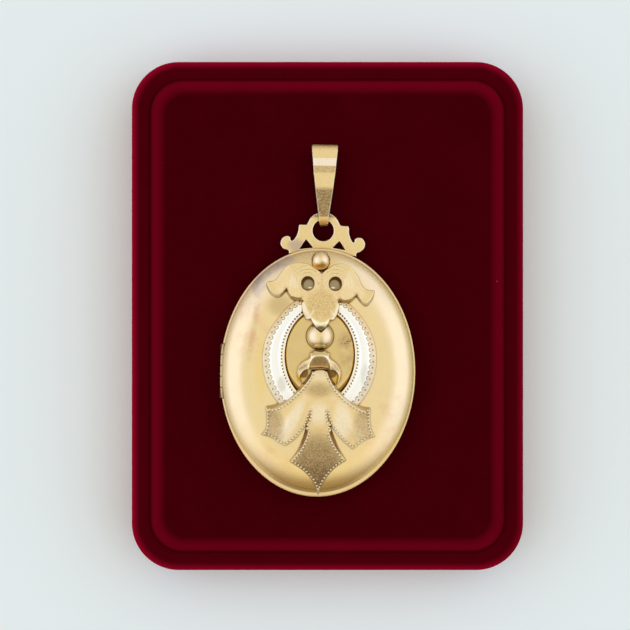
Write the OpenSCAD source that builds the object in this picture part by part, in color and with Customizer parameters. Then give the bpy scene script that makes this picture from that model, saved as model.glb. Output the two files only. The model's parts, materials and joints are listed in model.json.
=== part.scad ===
// Oval locket pendant with an applied drapery ornament, lying on a velvet display pad.
// Millimetres, +Z up. The origin is the middle of the pad's underside, and the bail points to +Y.

/* [Locket body] */
// Width of the oval body
body_w = 34.2; // [32:0.1:36]
// Length of the oval body, without the cresting
body_l = 43.5; // [41:0.1:46]
// Width of the rounded shoulder that runs round each half
shoulder_w = 4.45; // [4:0.05:4.9]
// Rise of that shoulder
shoulder_h = 3; // [2.8:0.05:3.2]
// Further rise of the lid to its middle
lid_dome = 0.9; // [0.6:0.05:1.1]
// Further rise of the back to its middle
back_dome = 0.7; // [0.5:0.05:0.9]
// Thickness of the sheet metal
wall = 0.5; // [0.4:0.05:0.6]

/* [Hinge] */
// Distance of the hinge axis in from the body's left edge
hinge_inset = 0.42; // [0.4:0.01:0.44]
// Length of the whole hinge barrel
hinge_l = 9.6; // [9.6:0.1:10.4]
// Outer radius of a knuckle
knuckle_r = 0.6; // [0.58:0.01:0.62]
// Radius of the hinge pin
pin_r = 0.24; // [0.2:0.01:0.25]

/* [Cresting and bail] */
// Thickness of the flat pierced cresting
plate_t = 0.8; // [0.7:0.05:0.85]
// Radius of the eye that the bail hangs in
eye_r = 1.8; // [1.78:0.01:1.85]
// Outer radius of the ring round that eye
eye_ring_r = 3.05; // [2.95:0.05:3.1]
// Length of the bail beyond its axis
bail_reach = 12.5; // [11:0.1:14]
// Thickness of the bail's strip
bail_t = 0.42; // [0.35:0.01:0.45]
// Half the height of the loop that the chain runs through
bail_loop_r = 1.9; // [1.7:0.05:2.1]

/* [Ornament] */
// Rise of the white oval ring above the lid
ring_rise = 0.65; // [0.5:0.05:0.8]
// Rise of the winged crest above the lid
crest_rise = 1.75; // [1.6:0.05:2]
// Rise of the fan of drapery above the lid
fan_rise = 1.4; // [1.3:0.05:1.6]
// Rise of the bell-shaped cap above the lid
bell_rise = 2.5; // [2.2:0.05:2.8]
// Radius of the ball in the crest's notch
top_ball_r = 1.62; // [1.5:0.01:1.64]
// Radius of the polished half ball below the shield
mid_ball_r = 2.4; // [2.2:0.01:2.45]

/* [Display pad] */
// Width of the velvet pad
pad_w = 70; // [66:1:80]
// Length of the velvet pad
pad_l = 90; // [88:1:100]
// Height of the pad up to its edge
pad_edge_h = 10.8; // [8:0.2:14]
// Further rise of the raised field that the locket lies on
field_rise = 1.2; // [0.8:0.1:1.6]
// Radius of the pad's corners
pad_corner_r = 8.4; // [7:0.1:10]
// Distance of the raised field in from the pad's edge
field_inset = 3.5; // [3:0.1:4.5]

/* [Hidden] */

// Where the locket lies on the pad, and how far it is turned clockwise
locket_x = -1.75;
locket_y = -9.9;
locket_turn = 1;
// Gap between pieces, and between the two closed halves
gap = 0.04;
half_w = body_w / 2;
stretch = body_l / body_w;
pad_top = pad_edge_h + field_rise;
// Height of the seam between the halves, above the pad's field
seam_z = gap + back_dome + shoulder_h + gap / 2;
lid_base = seam_z + gap / 2;
back_base = seam_z - gap / 2;

hinge_x = hinge_inset - half_w;
pocket_r = knuckle_r + 0.14;
bore_r = pin_r + 0.03;
knuckle_n = 5;
knuckle_pitch = hinge_l / knuckle_n;
// The knuckles are dressed off almost flush with the body
knuckle_flat = 0.02;

eye = [0.53, 24.93];
plate_drop = 0.85;
plate_z = seam_z - plate_drop;
bail_inner_r = 0.95;
bail_axis = [eye[0] + 0.06, eye[1] + 2.31, plate_z];
bail_span = bail_reach - bail_loop_r;
bail_dip = asin((plate_z - bail_loop_r - gap) / bail_span);

ring_inner = [0.31, 3.07, 6.1, 8.05];
ring_outer = [0.24, 2.54, 9.94, 11.15];
top_ball_foot = [0.2, 18.92];
mid_ball_at = [0.27, 6.41];
crest_eyes = [[-1.99, 15.61], [2.77, 15.61]];
crest_eye_r = 1.12;

// Edges of the crest: [x, lower edge, upper edge, rise as a share of the crest's own]
CREST = [
    [-9.26, 14.9, 15.35, 0.5], [-8.87, 14.2, 15.81, 0.62], [-8.3, 13.4, 15.85, 0.74],
    [-7.58, 12.85, 15.88, 0.8], [-6.92, 12.88, 16.54, 0.84], [-6.3, 13.35, 17.3, 0.86],
    [-5.72, 14.69, 18.05, 0.86], [-5.16, 13.6, 18.5, 0.86], [-4.35, 12.68, 18.9, 0.86],
    [-3.38, 12.5, 19.11, 0.86], [-2.7, 11.6, 19.1, 0.88], [-2.1, 9.2, 18.9, 0.92],
    [-1.18, 8.75, 18.4, 0.96], [-0.4, 8.3, 17.8, 1], [0.36, 7.92, 17.5, 1],
    [1.1, 8.35, 17.75, 1], [1.8, 8.8, 18.25, 0.96], [2.5, 9.4, 18.65, 0.92],
    [2.8, 10.6, 18.77, 0.9], [3.1, 11.6, 18.88, 0.88], [3.78, 12.04, 18.99, 0.86], [4.87, 12.06, 18.8, 0.86],
    [5.4, 12.35, 18.6, 0.86], [5.96, 12.71, 18.2, 0.86], [6.49, 13.49, 17.4, 0.86],
    [6.81, 13.15, 16.78, 0.86], [7.36, 12.57, 15.75, 0.84], [7.9, 12.15, 15, 0.8],
    [8.48, 11.8, 14.5, 0.74], [9.1, 12.6, 14.47, 0.62], [9.6, 13.6, 14.4, 0.5]];

// Edges of the fan's shoulders and side lobes: [x, lower edge, upper edge, rise as a share]
LOBES = [
    [-9.73, -10.95, -10.75, 0.55], [-9.2, -11.1, -10.2, 0.6], [-8.6, -11.25, -6.3, 0.66],
    [-8.01, -11.45, -6.05, 0.74], [-7, -12.1, -5.97, 0.84], [-6.3, -12.5, -5.6, 0.9],
    [-5.55, -12.73, -5.05, 0.92], [-4.55, -11.86, -4.25, 0.92], [-3.62, -11.2, -3.41, 0.9],
    [-3.02, -10.75, -2.75, 0.88], [-2.4, -9.95, -2.15, 0.88], [-1.78, -9.15, -1.3, 0.88],
    [-1.03, -8.6, 0.9, 0.88], [0.36, -8.4, 1.05, 0.9], [1.79, -8.6, 0.95, 0.88],
    [2.3, -8.9, -0.7, 0.88], [2.89, -9.3, -2.4, 0.88], [3.58, -10.1, -3.75, 0.88],
    [4.66, -11.23, -5.05, 0.9], [5.4, -12.1, -5.8, 0.92], [6.32, -13.16, -6.35, 0.92],
    [7.06, -12.5, -6.67, 0.9], [7.94, -11.8, -6.4, 0.84], [8.6, -11.5, -6.1, 0.74],
    [9.24, -11.25, -5.95, 0.66], [9.8, -11.08, -9.9, 0.6], [10.27, -11, -10.8, 0.55]];

// Edges of the fan's middle blade: [y, left edge, right edge, rise as a share]
BLADE = [
    [-21.35, 0.29, 0.49, 0.7], [-20.5, 0.02, 0.76, 0.74], [-19.61, -0.2, 0.95, 0.78],
    [-18.9, -0.6, 1.3, 0.82], [-18.21, -1.17, 1.65, 0.86], [-17.5, -1.95, 2.1, 0.9],
    [-16.83, -2.75, 2.85, 0.92], [-16.2, -3.6, 3.6, 0.94], [-15.42, -4.65, 5.27, 0.95],
    [-14.8, -4.1, 4.6, 0.96], [-14, -3.4, 4, 0.97], [-13.25, -2.81, 3.55, 0.98],
    [-12, -2.15, 3.05, 1], [-10.72, -1.62, 2.75, 1], [-9.6, -1.5, 2.55, 1],
    [-8.6, -1.42, 2.4, 1], [-7.7, -1.3, 2.2, 0.98]];

// Edges of the bell-shaped cap with its two horns: [x, lower edge, upper edge, rise as a share]
BELL = [
    [-3.6, -0.1, 0.3, 0.42], [-3.35, -0.67, 0.9, 0.5], [-3.07, -1.15, 1.5, 0.56],
    [-2.6, -1.44, 1.95, 0.64], [-2.35, 0.3, 2.15, 0.7], [-1.54, 1.16, 2.85, 0.84],
    [-1.4, 1.18, 3.55, 0.86], [-0.77, 1.22, 4.02, 0.95], [0.3, 1.5, 3.8, 1],
    [1.33, 1.24, 4.05, 0.95], [2, 1.16, 3.6, 0.86], [2.2, 1.1, 2.8, 0.84],
    [2.95, 0.3, 2.1, 0.7], [3.17, -1.35, 1.8, 0.64], [3.6, -1.5, 1.3, 0.56],
    [3.85, -0.8, 0.95, 0.5], [4.02, -0.15, 0.5, 0.42]];

// Notch in the half ball, which leaves room for the shield's tip
BALL_NOTCH = [[0.36, 7.7], [2.4, 8.85], [2.4, 10], [-1.6, 10], [-1.6, 8.65]];

// Half width of the bail along its length: [distance from its axis, half width]
BAIL_TAPER = [[-1.5, 0.7], [0.7, 0.94], [4.2, 1.42], [7.75, 1.93], [12.7, 2.35]];

// Rise of a shell at the distance q from its middle, measured along the body's width
function shell_rise(q, reach, shoulder, rise, dome) =
    rise * sqrt(max(0, 1 - pow(max(0, (q - reach + shoulder) / shoulder), 2)))
    + dome * (1 - pow(q / reach, 2));

// One surface of a shell as [distance, height] points, from the rim towards the middle
function shell_curve(reach, shoulder, rise, dome) = concat(
    [for (turn = [0 : 15 : 90])
        let (q = reach - shoulder + shoulder * cos(turn))
        [q, rise * sin(turn) + dome * (1 - pow(q / reach, 2))]],
    [for (part = [2, 1])
        let (q = (reach - shoulder) * part / 3)
        [q, shell_rise(q, reach, shoulder, rise, dome)]]);

// Points round the oval at the distance q from its middle, measured along the body's width
function oval(q, steps) = [for (i = [0 : steps - 1]) let (turn = 360 * i / steps)
    [q * cos(turn), q * stretch * sin(turn)]];

// Height of the lid's outer surface, held level beyond q_max so that an ornament can stand out over the rim
function lid_z(x, y, q_max = 16) =
    lid_base + shell_rise(min(q_max, norm([x, y / stretch])), half_w, shoulder_w, shoulder_h, lid_dome);

// Points of a curve from one end towards the middle point and on to the other end
function bend(from, by, to, steps = 5) =
    [for (i = [0 : steps]) let (t = i / steps)
        (1 - t) * (1 - t) * from + 2 * t * (1 - t) * by + t * t * to];

// Slope of the lid along Y, for the ball that touches it
function lid_slope(x, y) = (lid_z(x, y + 0.05) - lid_z(x, y - 0.05)) / 0.1;

// Distance from an oval given as [middle x, middle y, half width, half length], measured along its width
function from_oval(x, y, oval) = (norm([(x - oval[0]) / oval[2], (y - oval[1]) / oval[3]]) - 1) * oval[2];

// How high the white ring and its clearance reach at a point, so that what lies over it can be hollow there
ring_margin = 0.45;
ring_fade = 0.6;
function ring_lift(x, y) =
    (ring_rise + gap) * max(0, min(1,
        (ring_margin + ring_fade - from_oval(x, y, ring_outer)) / ring_fade,
        (ring_margin + ring_fade + from_oval(x, y, ring_inner)) / ring_fade));

// Share of the full rise across a relief, from its edge wall to its crown
ACROSS = [[0, 0.55], [0.06, 0.78], [0.2, 0.93], [0.35, 0.99], [0.5, 1], [0.65, 0.99], [0.8, 0.93],
    [0.94, 0.78], [1, 0.55]];

// Closed skin over a grid of bottom and top points, each given row by row
module skin(bottom, top) {
    rows = len(bottom);
    cols = len(bottom[0]);
    function at(layer, i, j) = (layer * rows + i) * cols + j;
    points = [for (layer = [bottom, top], row = layer) each row];
    faces = concat(
        [for (i = [0 : rows - 2], j = [0 : cols - 2]) each [
            [at(0, i, j), at(0, i, j + 1), at(0, i + 1, j + 1)],
            [at(0, i, j), at(0, i + 1, j + 1), at(0, i + 1, j)],
            [at(1, i, j), at(1, i + 1, j + 1), at(1, i, j + 1)],
            [at(1, i, j), at(1, i + 1, j), at(1, i + 1, j + 1)]]],
        [for (i = [0 : rows - 2]) each [
            [at(0, i, 0), at(0, i + 1, 0), at(1, i + 1, 0)],
            [at(0, i, 0), at(1, i + 1, 0), at(1, i, 0)],
            [at(0, i, cols - 1), at(1, i + 1, cols - 1), at(0, i + 1, cols - 1)],
            [at(0, i, cols - 1), at(1, i, cols - 1), at(1, i + 1, cols - 1)]]],
        [for (j = [0 : cols - 2]) each [
            [at(0, 0, j), at(1, 0, j + 1), at(0, 0, j + 1)],
            [at(0, 0, j), at(1, 0, j), at(1, 0, j + 1)],
            [at(0, rows - 1, j), at(0, rows - 1, j + 1), at(1, rows - 1, j + 1)],
            [at(0, rows - 1, j), at(1, rows - 1, j + 1), at(1, rows - 1, j)]]]);
    polyhedron(points = points, faces = faces, convexity = 6);
}

// Cast relief between two edges, lying on the lid. Its rows are [place, low edge, high edge, share of the rise]
module relief(rows, rise, along_y = false, lift = 0, least = 0.3) {
    function spot(row, share) =
        let (across = row[1] + (row[2] - row[1]) * share)
        along_y ? [across, row[0]] : [row[0], across];
    function foot(p) = lid_z(p[0], p[1]) + ring_lift(p[0], p[1]) + gap + lift;
    bottom = [for (row = rows) [for (a = ACROSS) let (p = spot(row, a[0])) [p[0], p[1], foot(p)]]];
    top = [for (row = rows) [for (a = ACROSS) let (p = spot(row, a[0]))
        [p[0], p[1], max(foot(p) + least, lid_z(p[0], p[1]) + rise * row[3] * a[1])]]];
    if (along_y)
        skin([for (i = [len(rows) - 1 : -1 : 0]) bottom[i]], [for (i = [len(rows) - 1 : -1 : 0]) top[i]]);
    else
        skin(bottom, top);
}

// Places what is drawn in the locket's own frame, whose origin is under the middle of its body
module on_pad() {
    translate([locket_x, locket_y, pad_top])
        rotate([0, 0, -locket_turn])
            children();
}

// One oval half: a thin domed shell with its rim at height zero, closed by a crown point on each side
module half_shell(dome) {
    steps = 64;
    inner_h = shoulder_h - wall;
    outer = shell_curve(half_w, shoulder_w, shoulder_h, dome);
    inner = shell_curve(half_w - wall, shoulder_w - wall, inner_h, dome);
    section = concat([for (i = [len(inner) - 1 : -1 : 0]) inner[i]], outer);
    rings = len(section);
    points = concat(
        [for (spot = section, at = oval(spot[0], steps)) [at[0], at[1], spot[1]]],
        [[0, 0, inner_h + dome], [0, 0, shoulder_h + dome]]);
    faces = [for (i = [0 : steps - 1]) let (next = (i + 1) % steps) each concat(
        [[rings * steps, i, next], [rings * steps + 1, (rings - 1) * steps + next, (rings - 1) * steps + i]],
        [for (k = [0 : rings - 2]) let (a = k * steps, b = a + steps) each
            [[a + i, b + i, b + next], [a + i, b + next, a + next]]])];
    polyhedron(points = points, faces = faces, convexity = 6);
}

// A round bar along the hinge axis over the places of the knuckles in the list
module hinge_bars(places, radius, longer) {
    for (i = places)
        translate([hinge_x, -hinge_l / 2 + i * knuckle_pitch - longer, seam_z])
            rotate([-90, 0, 0])
                cylinder(r = radius, h = knuckle_pitch + 2 * longer, $fn = 32);
}

// Knuckles, dressed off flat on the outer side
module knuckles(places) {
    difference() {
        hinge_bars(places, knuckle_r, -gap);
        translate([-half_w + knuckle_flat - 2, -hinge_l, seam_z - 2])
            cube([2, 2 * hinge_l, 4]);
    }
}

module velvet_pad() {
    color([0.32, 0.01, 0.05]) {
        linear_extrude(pad_edge_h - 1.2)
            rounded_oblong(pad_w, pad_l, pad_corner_r);
        translate([0, 0, pad_edge_h - 1.2])
            rolled_slab(pad_w, pad_l, pad_corner_r, 1.2, 1.2);
        translate([0, 0, pad_edge_h])
            rolled_slab(pad_w - 2 * field_inset, pad_l - 2 * field_inset, pad_corner_r - field_inset + 1,
                field_rise, field_rise);
    }
}

// Flat oblong with round corners
module rounded_oblong(w, l, r) {
    square([w - 2 * r, l], center = true);
    square([w, l - 2 * r], center = true);
    for (x = [-1, 1], y = [-1, 1])
        translate([x * (w / 2 - r), y * (l / 2 - r)])
            circle(r, $fn = 64);
}

// Slab whose upper edge is rolled over with the radius edge
module rolled_slab(w, l, r, h, edge) {
    hull()
        for (x = [-1, 1], y = [-1, 1])
            translate([x * (w / 2 - r), y * (l / 2 - r), 0])
                rotate_extrude($fn = 48)
                    polygon(concat([[0, 0], [r, 0]],
                        [for (turn = [0 : 18 : 90]) [r - edge + edge * cos(turn), h - edge + edge * sin(turn)]],
                        [[0, h]]));
}

module back_shell() {
    color([0.85, 0.73, 0.45])
        on_pad()
            difference() {
                union() {
                    difference() {
                        translate([0, 0, back_base])
                            mirror([0, 0, 1])
                                half_shell(back_dome);
                        hinge_bars([1, 3], pocket_r, gap);
                    }
                    knuckles([0, 2, 4]);
                }
                hinge_bars([0, 1, 2, 3, 4], bore_r, 0.1);
            }
}

module front_shell() {
    color([0.9, 0.79, 0.5])
        on_pad()
            difference() {
                union() {
                    difference() {
                        translate([0, 0, lid_base])
                            half_shell(lid_dome);
                        hinge_bars([0, 2, 4], pocket_r, gap);
                    }
                    knuckles([1, 3]);
                }
                hinge_bars([0, 1, 2, 3, 4], bore_r, 0.1);
            }
}

module hinge_pin() {
    color([0.75, 0.62, 0.36])
        on_pad()
            translate([hinge_x, -hinge_l / 2, seam_z])
                rotate([-90, 0, 0])
                    cylinder(r = pin_r, h = hinge_l, $fn = 32);
}

// Flat pierced cresting: two crown points, two scrolls, a ring for the bail and two triangular openings
module scroll_plate() {
    color([0.83, 0.7, 0.42])
        on_pad()
            difference() {
                union() {
                    plate_slab()
                        translate(eye)
                            circle(eye_ring_r, $fn = 64);
                    plate_slab()
                        polygon(concat([[-5.5, 19]],
                            bend([-5.2, 21.2], [-4.9, 22.2], [-4.75, 23.3]),
                            bend([-4.75, 23.35], [-3.75, 24.2], [-3.76, 25.91]),
                            [[-2.2, 25.97], [0.5, 23.5], [3.6, 25.87]],
                            bend([5.03, 25.76], [4.9, 24.2], [5.85, 23.25]),
                            bend([5.85, 23.2], [5.95, 22.2], [6.3, 21.1]),
                            [[6.5, 19]]));
                    plate_slab()
                        translate([-5.8, 22.7])
                            circle(1.1, $fn = 48);
                    plate_slab()
                        translate([6.87, 22.66])
                            circle(1.13, $fn = 48);
                }
                plate_slab(1)
                    translate(eye)
                        circle(eye_r, $fn = 64);
                plate_slab(1)
                    polygon([[-2.49, 23.24], [-3.51, 21.75], [-1.29, 21.98]]);
                plate_slab(1)
                    polygon([[3.38, 22.99], [4.28, 21.72], [2.35, 21.99]]);
                plate_slab(1)
                    polygon(oval(half_w - 0.02, 96));
            }
}

// Flat stock of the cresting's thickness, or a cut that runs past both of its faces
module plate_slab(past = 0) {
    translate([0, 0, plate_z - plate_t / 2 - past])
        linear_extrude(plate_t + 2 * past)
            children();
}

// Folded strip that narrows to the eye: a long loop cut to its taper
module bail() {
    right_side = [for (row = BAIL_TAPER) [row[1], row[0]]];
    left_side = [for (i = [len(BAIL_TAPER) - 1 : -1 : 0]) [-BAIL_TAPER[i][1], BAIL_TAPER[i][0]]];
    color([0.84, 0.71, 0.42])
        on_pad()
            translate(bail_axis)
                rotate([-bail_dip, 0, 0])
                    intersection() {
                        rotate([90, 0, 90])
                            linear_extrude(6, center = true)
                                difference() {
                                    tapered_slot(bail_inner_r + bail_t, bail_loop_r, bail_span);
                                    tapered_slot(bail_inner_r, bail_loop_r - bail_t, bail_span);
                                }
                        linear_extrude(6, center = true)
                            polygon(concat(right_side, left_side));
                    }
}

// Two circles and the tangent sides between them, from the origin along +X
module tapered_slot(near_r, far_r, span) {
    lean = asin((far_r - near_r) / span);
    side = [-sin(lean), cos(lean)];
    circle(near_r, $fn = 48);
    translate([span, 0])
        circle(far_r, $fn = 48);
    polygon([near_r * side, [near_r * side[0], -near_r * side[1]],
        [span + far_r * side[0], -far_r * side[1]], [span + far_r * side[0], far_r * side[1]]]);
}

// Convex white ring between two ovals that aren't concentric
module white_ring() {
    steps = 72;
    across = [[0, 0.3], [0.12, 0.7], [0.35, 0.97], [0.55, 1], [0.8, 0.8], [0.94, 0.5], [1, 0.2]];
    function edge(oval, turn) = [oval[0] + oval[2] * cos(turn), oval[1] + oval[3] * sin(turn)];
    function spot(turn, share) = (1 - share) * edge(ring_inner, turn) + share * edge(ring_outer, turn);
    function ring_row(turn) = concat(
        [for (a = across) let (p = spot(turn, a[0])) [p[0], p[1], lid_z(p[0], p[1]) + ring_rise * a[1]]],
        [for (share = [1, 0.5, 0]) let (p = spot(turn, share)) [p[0], p[1], lid_z(p[0], p[1]) + gap]]);
    rows = [for (i = [0 : steps - 1]) ring_row(i * 360 / steps)];
    size = len(rows[0]);
    faces = [for (i = [0 : steps - 1], j = [0 : size - 1])
        let (a = i * size + j, b = i * size + (j + 1) % size)
        let (c = (i + 1) % steps * size + (j + 1) % size, d = (i + 1) % steps * size + j)
        each [[a, b, c], [a, c, d]]];
    color([0.93, 0.88, 0.8])
        on_pad()
            polyhedron(points = [for (row = rows) each row], faces = faces, convexity = 6);
}

// Winged crest with a pointed shield and two round eyes pierced through
module crest() {
    color([0.86, 0.72, 0.4])
        on_pad()
            difference() {
                relief(CREST, crest_rise);
                for (at = crest_eyes)
                    translate([at[0], at[1], 0])
                        cylinder(r = crest_eye_r, h = 20, $fn = 48);
            }
}

// Ball that touches the lid's shoulder in the notch of the crest
module top_ball() {
    slope = lid_slope(top_ball_foot[0], top_ball_foot[1]);
    lean = [0, -slope, 1] / norm([0, -slope, 1]);
    color([0.9, 0.75, 0.42])
        on_pad()
            translate([top_ball_foot[0], top_ball_foot[1], lid_z(top_ball_foot[0], top_ball_foot[1])]
                + lean * (top_ball_r + 2 * gap))
                sphere(top_ball_r, $fn = 48);
}

// Polished half ball, notched for the shield's tip
module mid_ball() {
    foot = lid_z(mid_ball_at[0], mid_ball_at[1] - mid_ball_r) + gap;
    color([0.9, 0.79, 0.5])
        on_pad()
            translate([0, 0, foot])
                difference() {
                    translate(mid_ball_at)
                        sphere(mid_ball_r, $fn = 64);
                    translate([0, 0, -2 * mid_ball_r])
                        linear_extrude(2 * mid_ball_r)
                            square(4 * half_w, center = true);
                    linear_extrude(2 * mid_ball_r)
                        polygon(BALL_NOTCH);
                }
}

module bell_cap() {
    color([0.86, 0.73, 0.43])
        on_pad()
            relief(BELL, bell_rise);
}

// Drapery in one stamping: two side lobes and a thicker middle blade that bends down over the shoulder
module fan() {
    color([0.84, 0.71, 0.42])
        on_pad() {
            relief(LOBES, fan_rise);
            relief(BLADE, fan_rise + 0.2, along_y = true, lift = 0.1, least = 0.5);
        }
}

velvet_pad();
back_shell();
front_shell();
hinge_pin();
scroll_plate();
bail();
white_ring();
crest();
top_ball();
mid_ball();
bell_cap();
fan();
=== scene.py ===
import json
import math

import bmesh
import bpy
from bpy.props import FloatProperty, FloatVectorProperty, PointerProperty
from mathutils import Matrix, Vector
from mathutils.geometry import delaunay_2d_cdt
from mathutils.kdtree import KDTree


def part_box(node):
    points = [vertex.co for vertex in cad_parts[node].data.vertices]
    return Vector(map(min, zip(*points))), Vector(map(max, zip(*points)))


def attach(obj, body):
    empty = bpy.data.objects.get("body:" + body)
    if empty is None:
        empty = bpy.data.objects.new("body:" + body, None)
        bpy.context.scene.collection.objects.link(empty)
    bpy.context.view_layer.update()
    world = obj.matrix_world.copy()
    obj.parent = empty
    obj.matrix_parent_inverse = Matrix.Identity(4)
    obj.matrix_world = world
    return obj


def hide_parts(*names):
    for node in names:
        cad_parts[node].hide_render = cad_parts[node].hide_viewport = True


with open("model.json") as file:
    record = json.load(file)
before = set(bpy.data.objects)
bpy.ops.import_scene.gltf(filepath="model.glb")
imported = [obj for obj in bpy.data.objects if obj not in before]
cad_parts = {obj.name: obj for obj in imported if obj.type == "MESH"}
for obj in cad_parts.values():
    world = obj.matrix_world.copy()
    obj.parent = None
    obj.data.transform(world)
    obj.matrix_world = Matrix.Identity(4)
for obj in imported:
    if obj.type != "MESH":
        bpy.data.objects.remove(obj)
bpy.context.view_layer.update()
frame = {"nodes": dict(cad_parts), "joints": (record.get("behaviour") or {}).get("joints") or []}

bl_info = {
    "name": "Oval locket",
    "version": (1, 0, 0),
    "blender": (4, 5, 0),
    "location": "3D View > Sidebar > Locket",
    "description": "Builds an oval locket with its ornament, on a velvet display pad, piece by piece",
    "category": "Add Mesh",
}

# Sizes below are in millimetres unless they say otherwise. Places are in the locket's own frame: x to the
# right, y towards the bail, z up from the pad's field, and the origin under the middle of the oval body.
MM = 0.001

JOINTS = {joint["name"]: joint for joint in frame["joints"]}
PAD_LOW, PAD_HIGH = (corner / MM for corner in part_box("velvet_pad"))
PLATE_LOW, PLATE_HIGH = (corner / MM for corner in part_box("scroll_plate"))
HINGE_PLACE = Vector(JOINTS["lid_hinge"]["pos_m"]) / MM
BAIL_PLACE = Vector(JOINTS["bail_swing"]["pos_m"]) / MM
BAIL_AXIS = JOINTS["bail_swing"]["axis"]
TURN = math.atan2(BAIL_AXIS[1], BAIL_AXIS[0])

BODY_HALF_WIDTH = 17.1
OVALNESS = 1.272
FIELD_RISE = 1.2
GAP = 0.04
HINGE_INSET = 0.42
HINGE_REACH = BODY_HALF_WIDTH - HINGE_INSET
SEAM = HINGE_PLACE.z - PAD_HIGH.z
CENTRE = HINGE_PLACE.xy + HINGE_REACH * Vector((math.cos(TURN), math.sin(TURN)))
KNUCKLES = 5
EYE = (0.53, 24.93)
BELL_MIDDLE = 0.3
CREST_MIDDLE = 0.39
HALF_BALL = (0.27, 6.41)
CREST_EYES = ((-1.99, 15.61), (2.77, 15.61))
# Ovals, as middle x, middle y, half width and half length
RING_INNER = (0.31, 3.07, 6.1, 8.05)
RING_OUTER = (0.24, 2.54, 9.94, 11.15)
# Where the ring's outline is drawn in, as an angle from its right side, and the share of the way in
RING_SHOULDERS = ((2.45, 0.038), (0.65, 0.022))

# Outlines are closed, counter-clockwise and made of runs. A run is a smooth curve through its points, it
# ends where the next one starts, and two runs meet in a corner.
CREST_EDGE = (
    ((0.39, 17.32), (-0.43, 18.1), (-1.4, 18.68), (-2.6, 19.04), (-4, 19.08), (-5.2, 18.75), (-6.2, 17.97),
     (-7.0, 16.8), (-7.6, 16.1), (-8.3, 15.8)),
    ((-8.95, 15.8), (-9.24, 15.3), (-9.0, 14.4), (-8.4, 13.45), (-7.5, 12.92), (-6.75, 13.0),
     (-6.25, 13.4)),
    ((-5.72, 14.1), (-5.32, 13.3), (-4.8, 12.7), (-3.9, 12.36)),
    ((-3.0, 12.3), (-2.99, 11.23), (-2.76, 10.3)),
    ((-2.2, 9.24), (-1.75, 9.2)),
    ((-1.4, 9.35), (-1.0, 8.6), (-0.35, 7.7)),
    ((0.45, 7.06), (1.14, 7.72), (1.7, 8.56)),
    ((2.0, 9.25), (2.6, 9.23)),
    ((3.2, 10.1), (3.54, 11.1), (3.52, 12.2)),
    ((3.55, 12.3), (4.3, 12.05), (4.95, 12.1), (5.6, 12.4), (6.05, 12.8)),
    ((6.48, 13.3), (6.85, 12.7), (7.3, 12.15), (7.85, 11.72), (8.4, 11.72), (9.1, 12.5), (9.5, 13.4)),
    ((9.66, 14.5), (8.75, 14.55), (8.05, 14.76), (7.5, 15.3), (6.86, 16.65), (6.05, 17.9), (5.0, 18.8),
     (3.84, 19.08), (2.7, 18.9), (1.9, 18.5), (1.1, 17.98)))
FAN_EDGE = (
    ((-1.1, 0.62), (-1.6, -0.4), (-3.1, -2.4), (-5.2, -4.35), (-7.0, -5.4)),
    ((-8.93, -5.9), (-8.75, -7.5), (-8.77, -9.3), (-9.1, -10.2)),
    ((-9.7, -10.86), (-7.85, -11.35), (-6.4, -12.25)),
    ((-5.4, -12.76), (-3.85, -11.6), (-2.75, -10.4)),
    ((-1.8, -9.1), (-2.5, -11.4), (-3.3, -13.4)),
    ((-4.66, -15.44), (-2.95, -16.5), (-1.55, -17.65), (-0.4, -19.2)),
    ((0.42, -21.4), (1.25, -19.2), (2.35, -17.5), (3.6, -16.2)),
    ((5.25, -15.1), (3.9, -12.9), (3.2, -11.3)),
    ((2.35, -9.1), (3.45, -10.5), (4.7, -11.8)),
    ((6.3, -13.15), (7.75, -11.95), (9.0, -11.25)),
    ((10.2, -10.9), (9.5, -9.6), (9.22, -8.0)),
    ((9.25, -5.85), (7.5, -5.5), (5.2, -4.05), (3.5, -2.4), (2.4, -0.7)),
    ((1.75, 0.68),))
BELL_EDGE = (
    ((-0.62, 4.02), (-0.95, 3.75), (-1.45, 3.62)),
    ((-1.52, 3.45), (-1.42, 3.0), (-1.6, 2.6), (-2.5, 2.1), (-3.3, 1.3), (-3.66, 0.3), (-3.55, -0.7),
     (-3.15, -1.45)),
    ((-2.65, -1.95), (-2.95, -1.1), (-2.9, -0.45), (-2.55, 0.1)),
    ((-2.3, 0.35), (-1.4, 0.7), (-0.5, 0.88), (0.3, 0.93), (1.1, 0.88), (2.0, 0.68)),
    ((2.95, 0.33), (3.35, -0.1), (3.45, -0.7), (3.3, -1.3)),
    ((3.3, -1.98), (3.85, -1.4), (4.1, -0.7), (4.12, 0.3), (3.75, 1.2), (3.1, 2.0), (2.2, 2.6), (2.0, 3.05),
     (2.1, 3.45)),
    ((2.05, 3.62), (1.55, 3.75), (1.2, 4.02)),
    ((1.2, 4.02), (0.75, 3.92), (0.3, 3.88), (-0.15, 3.92)))
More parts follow.
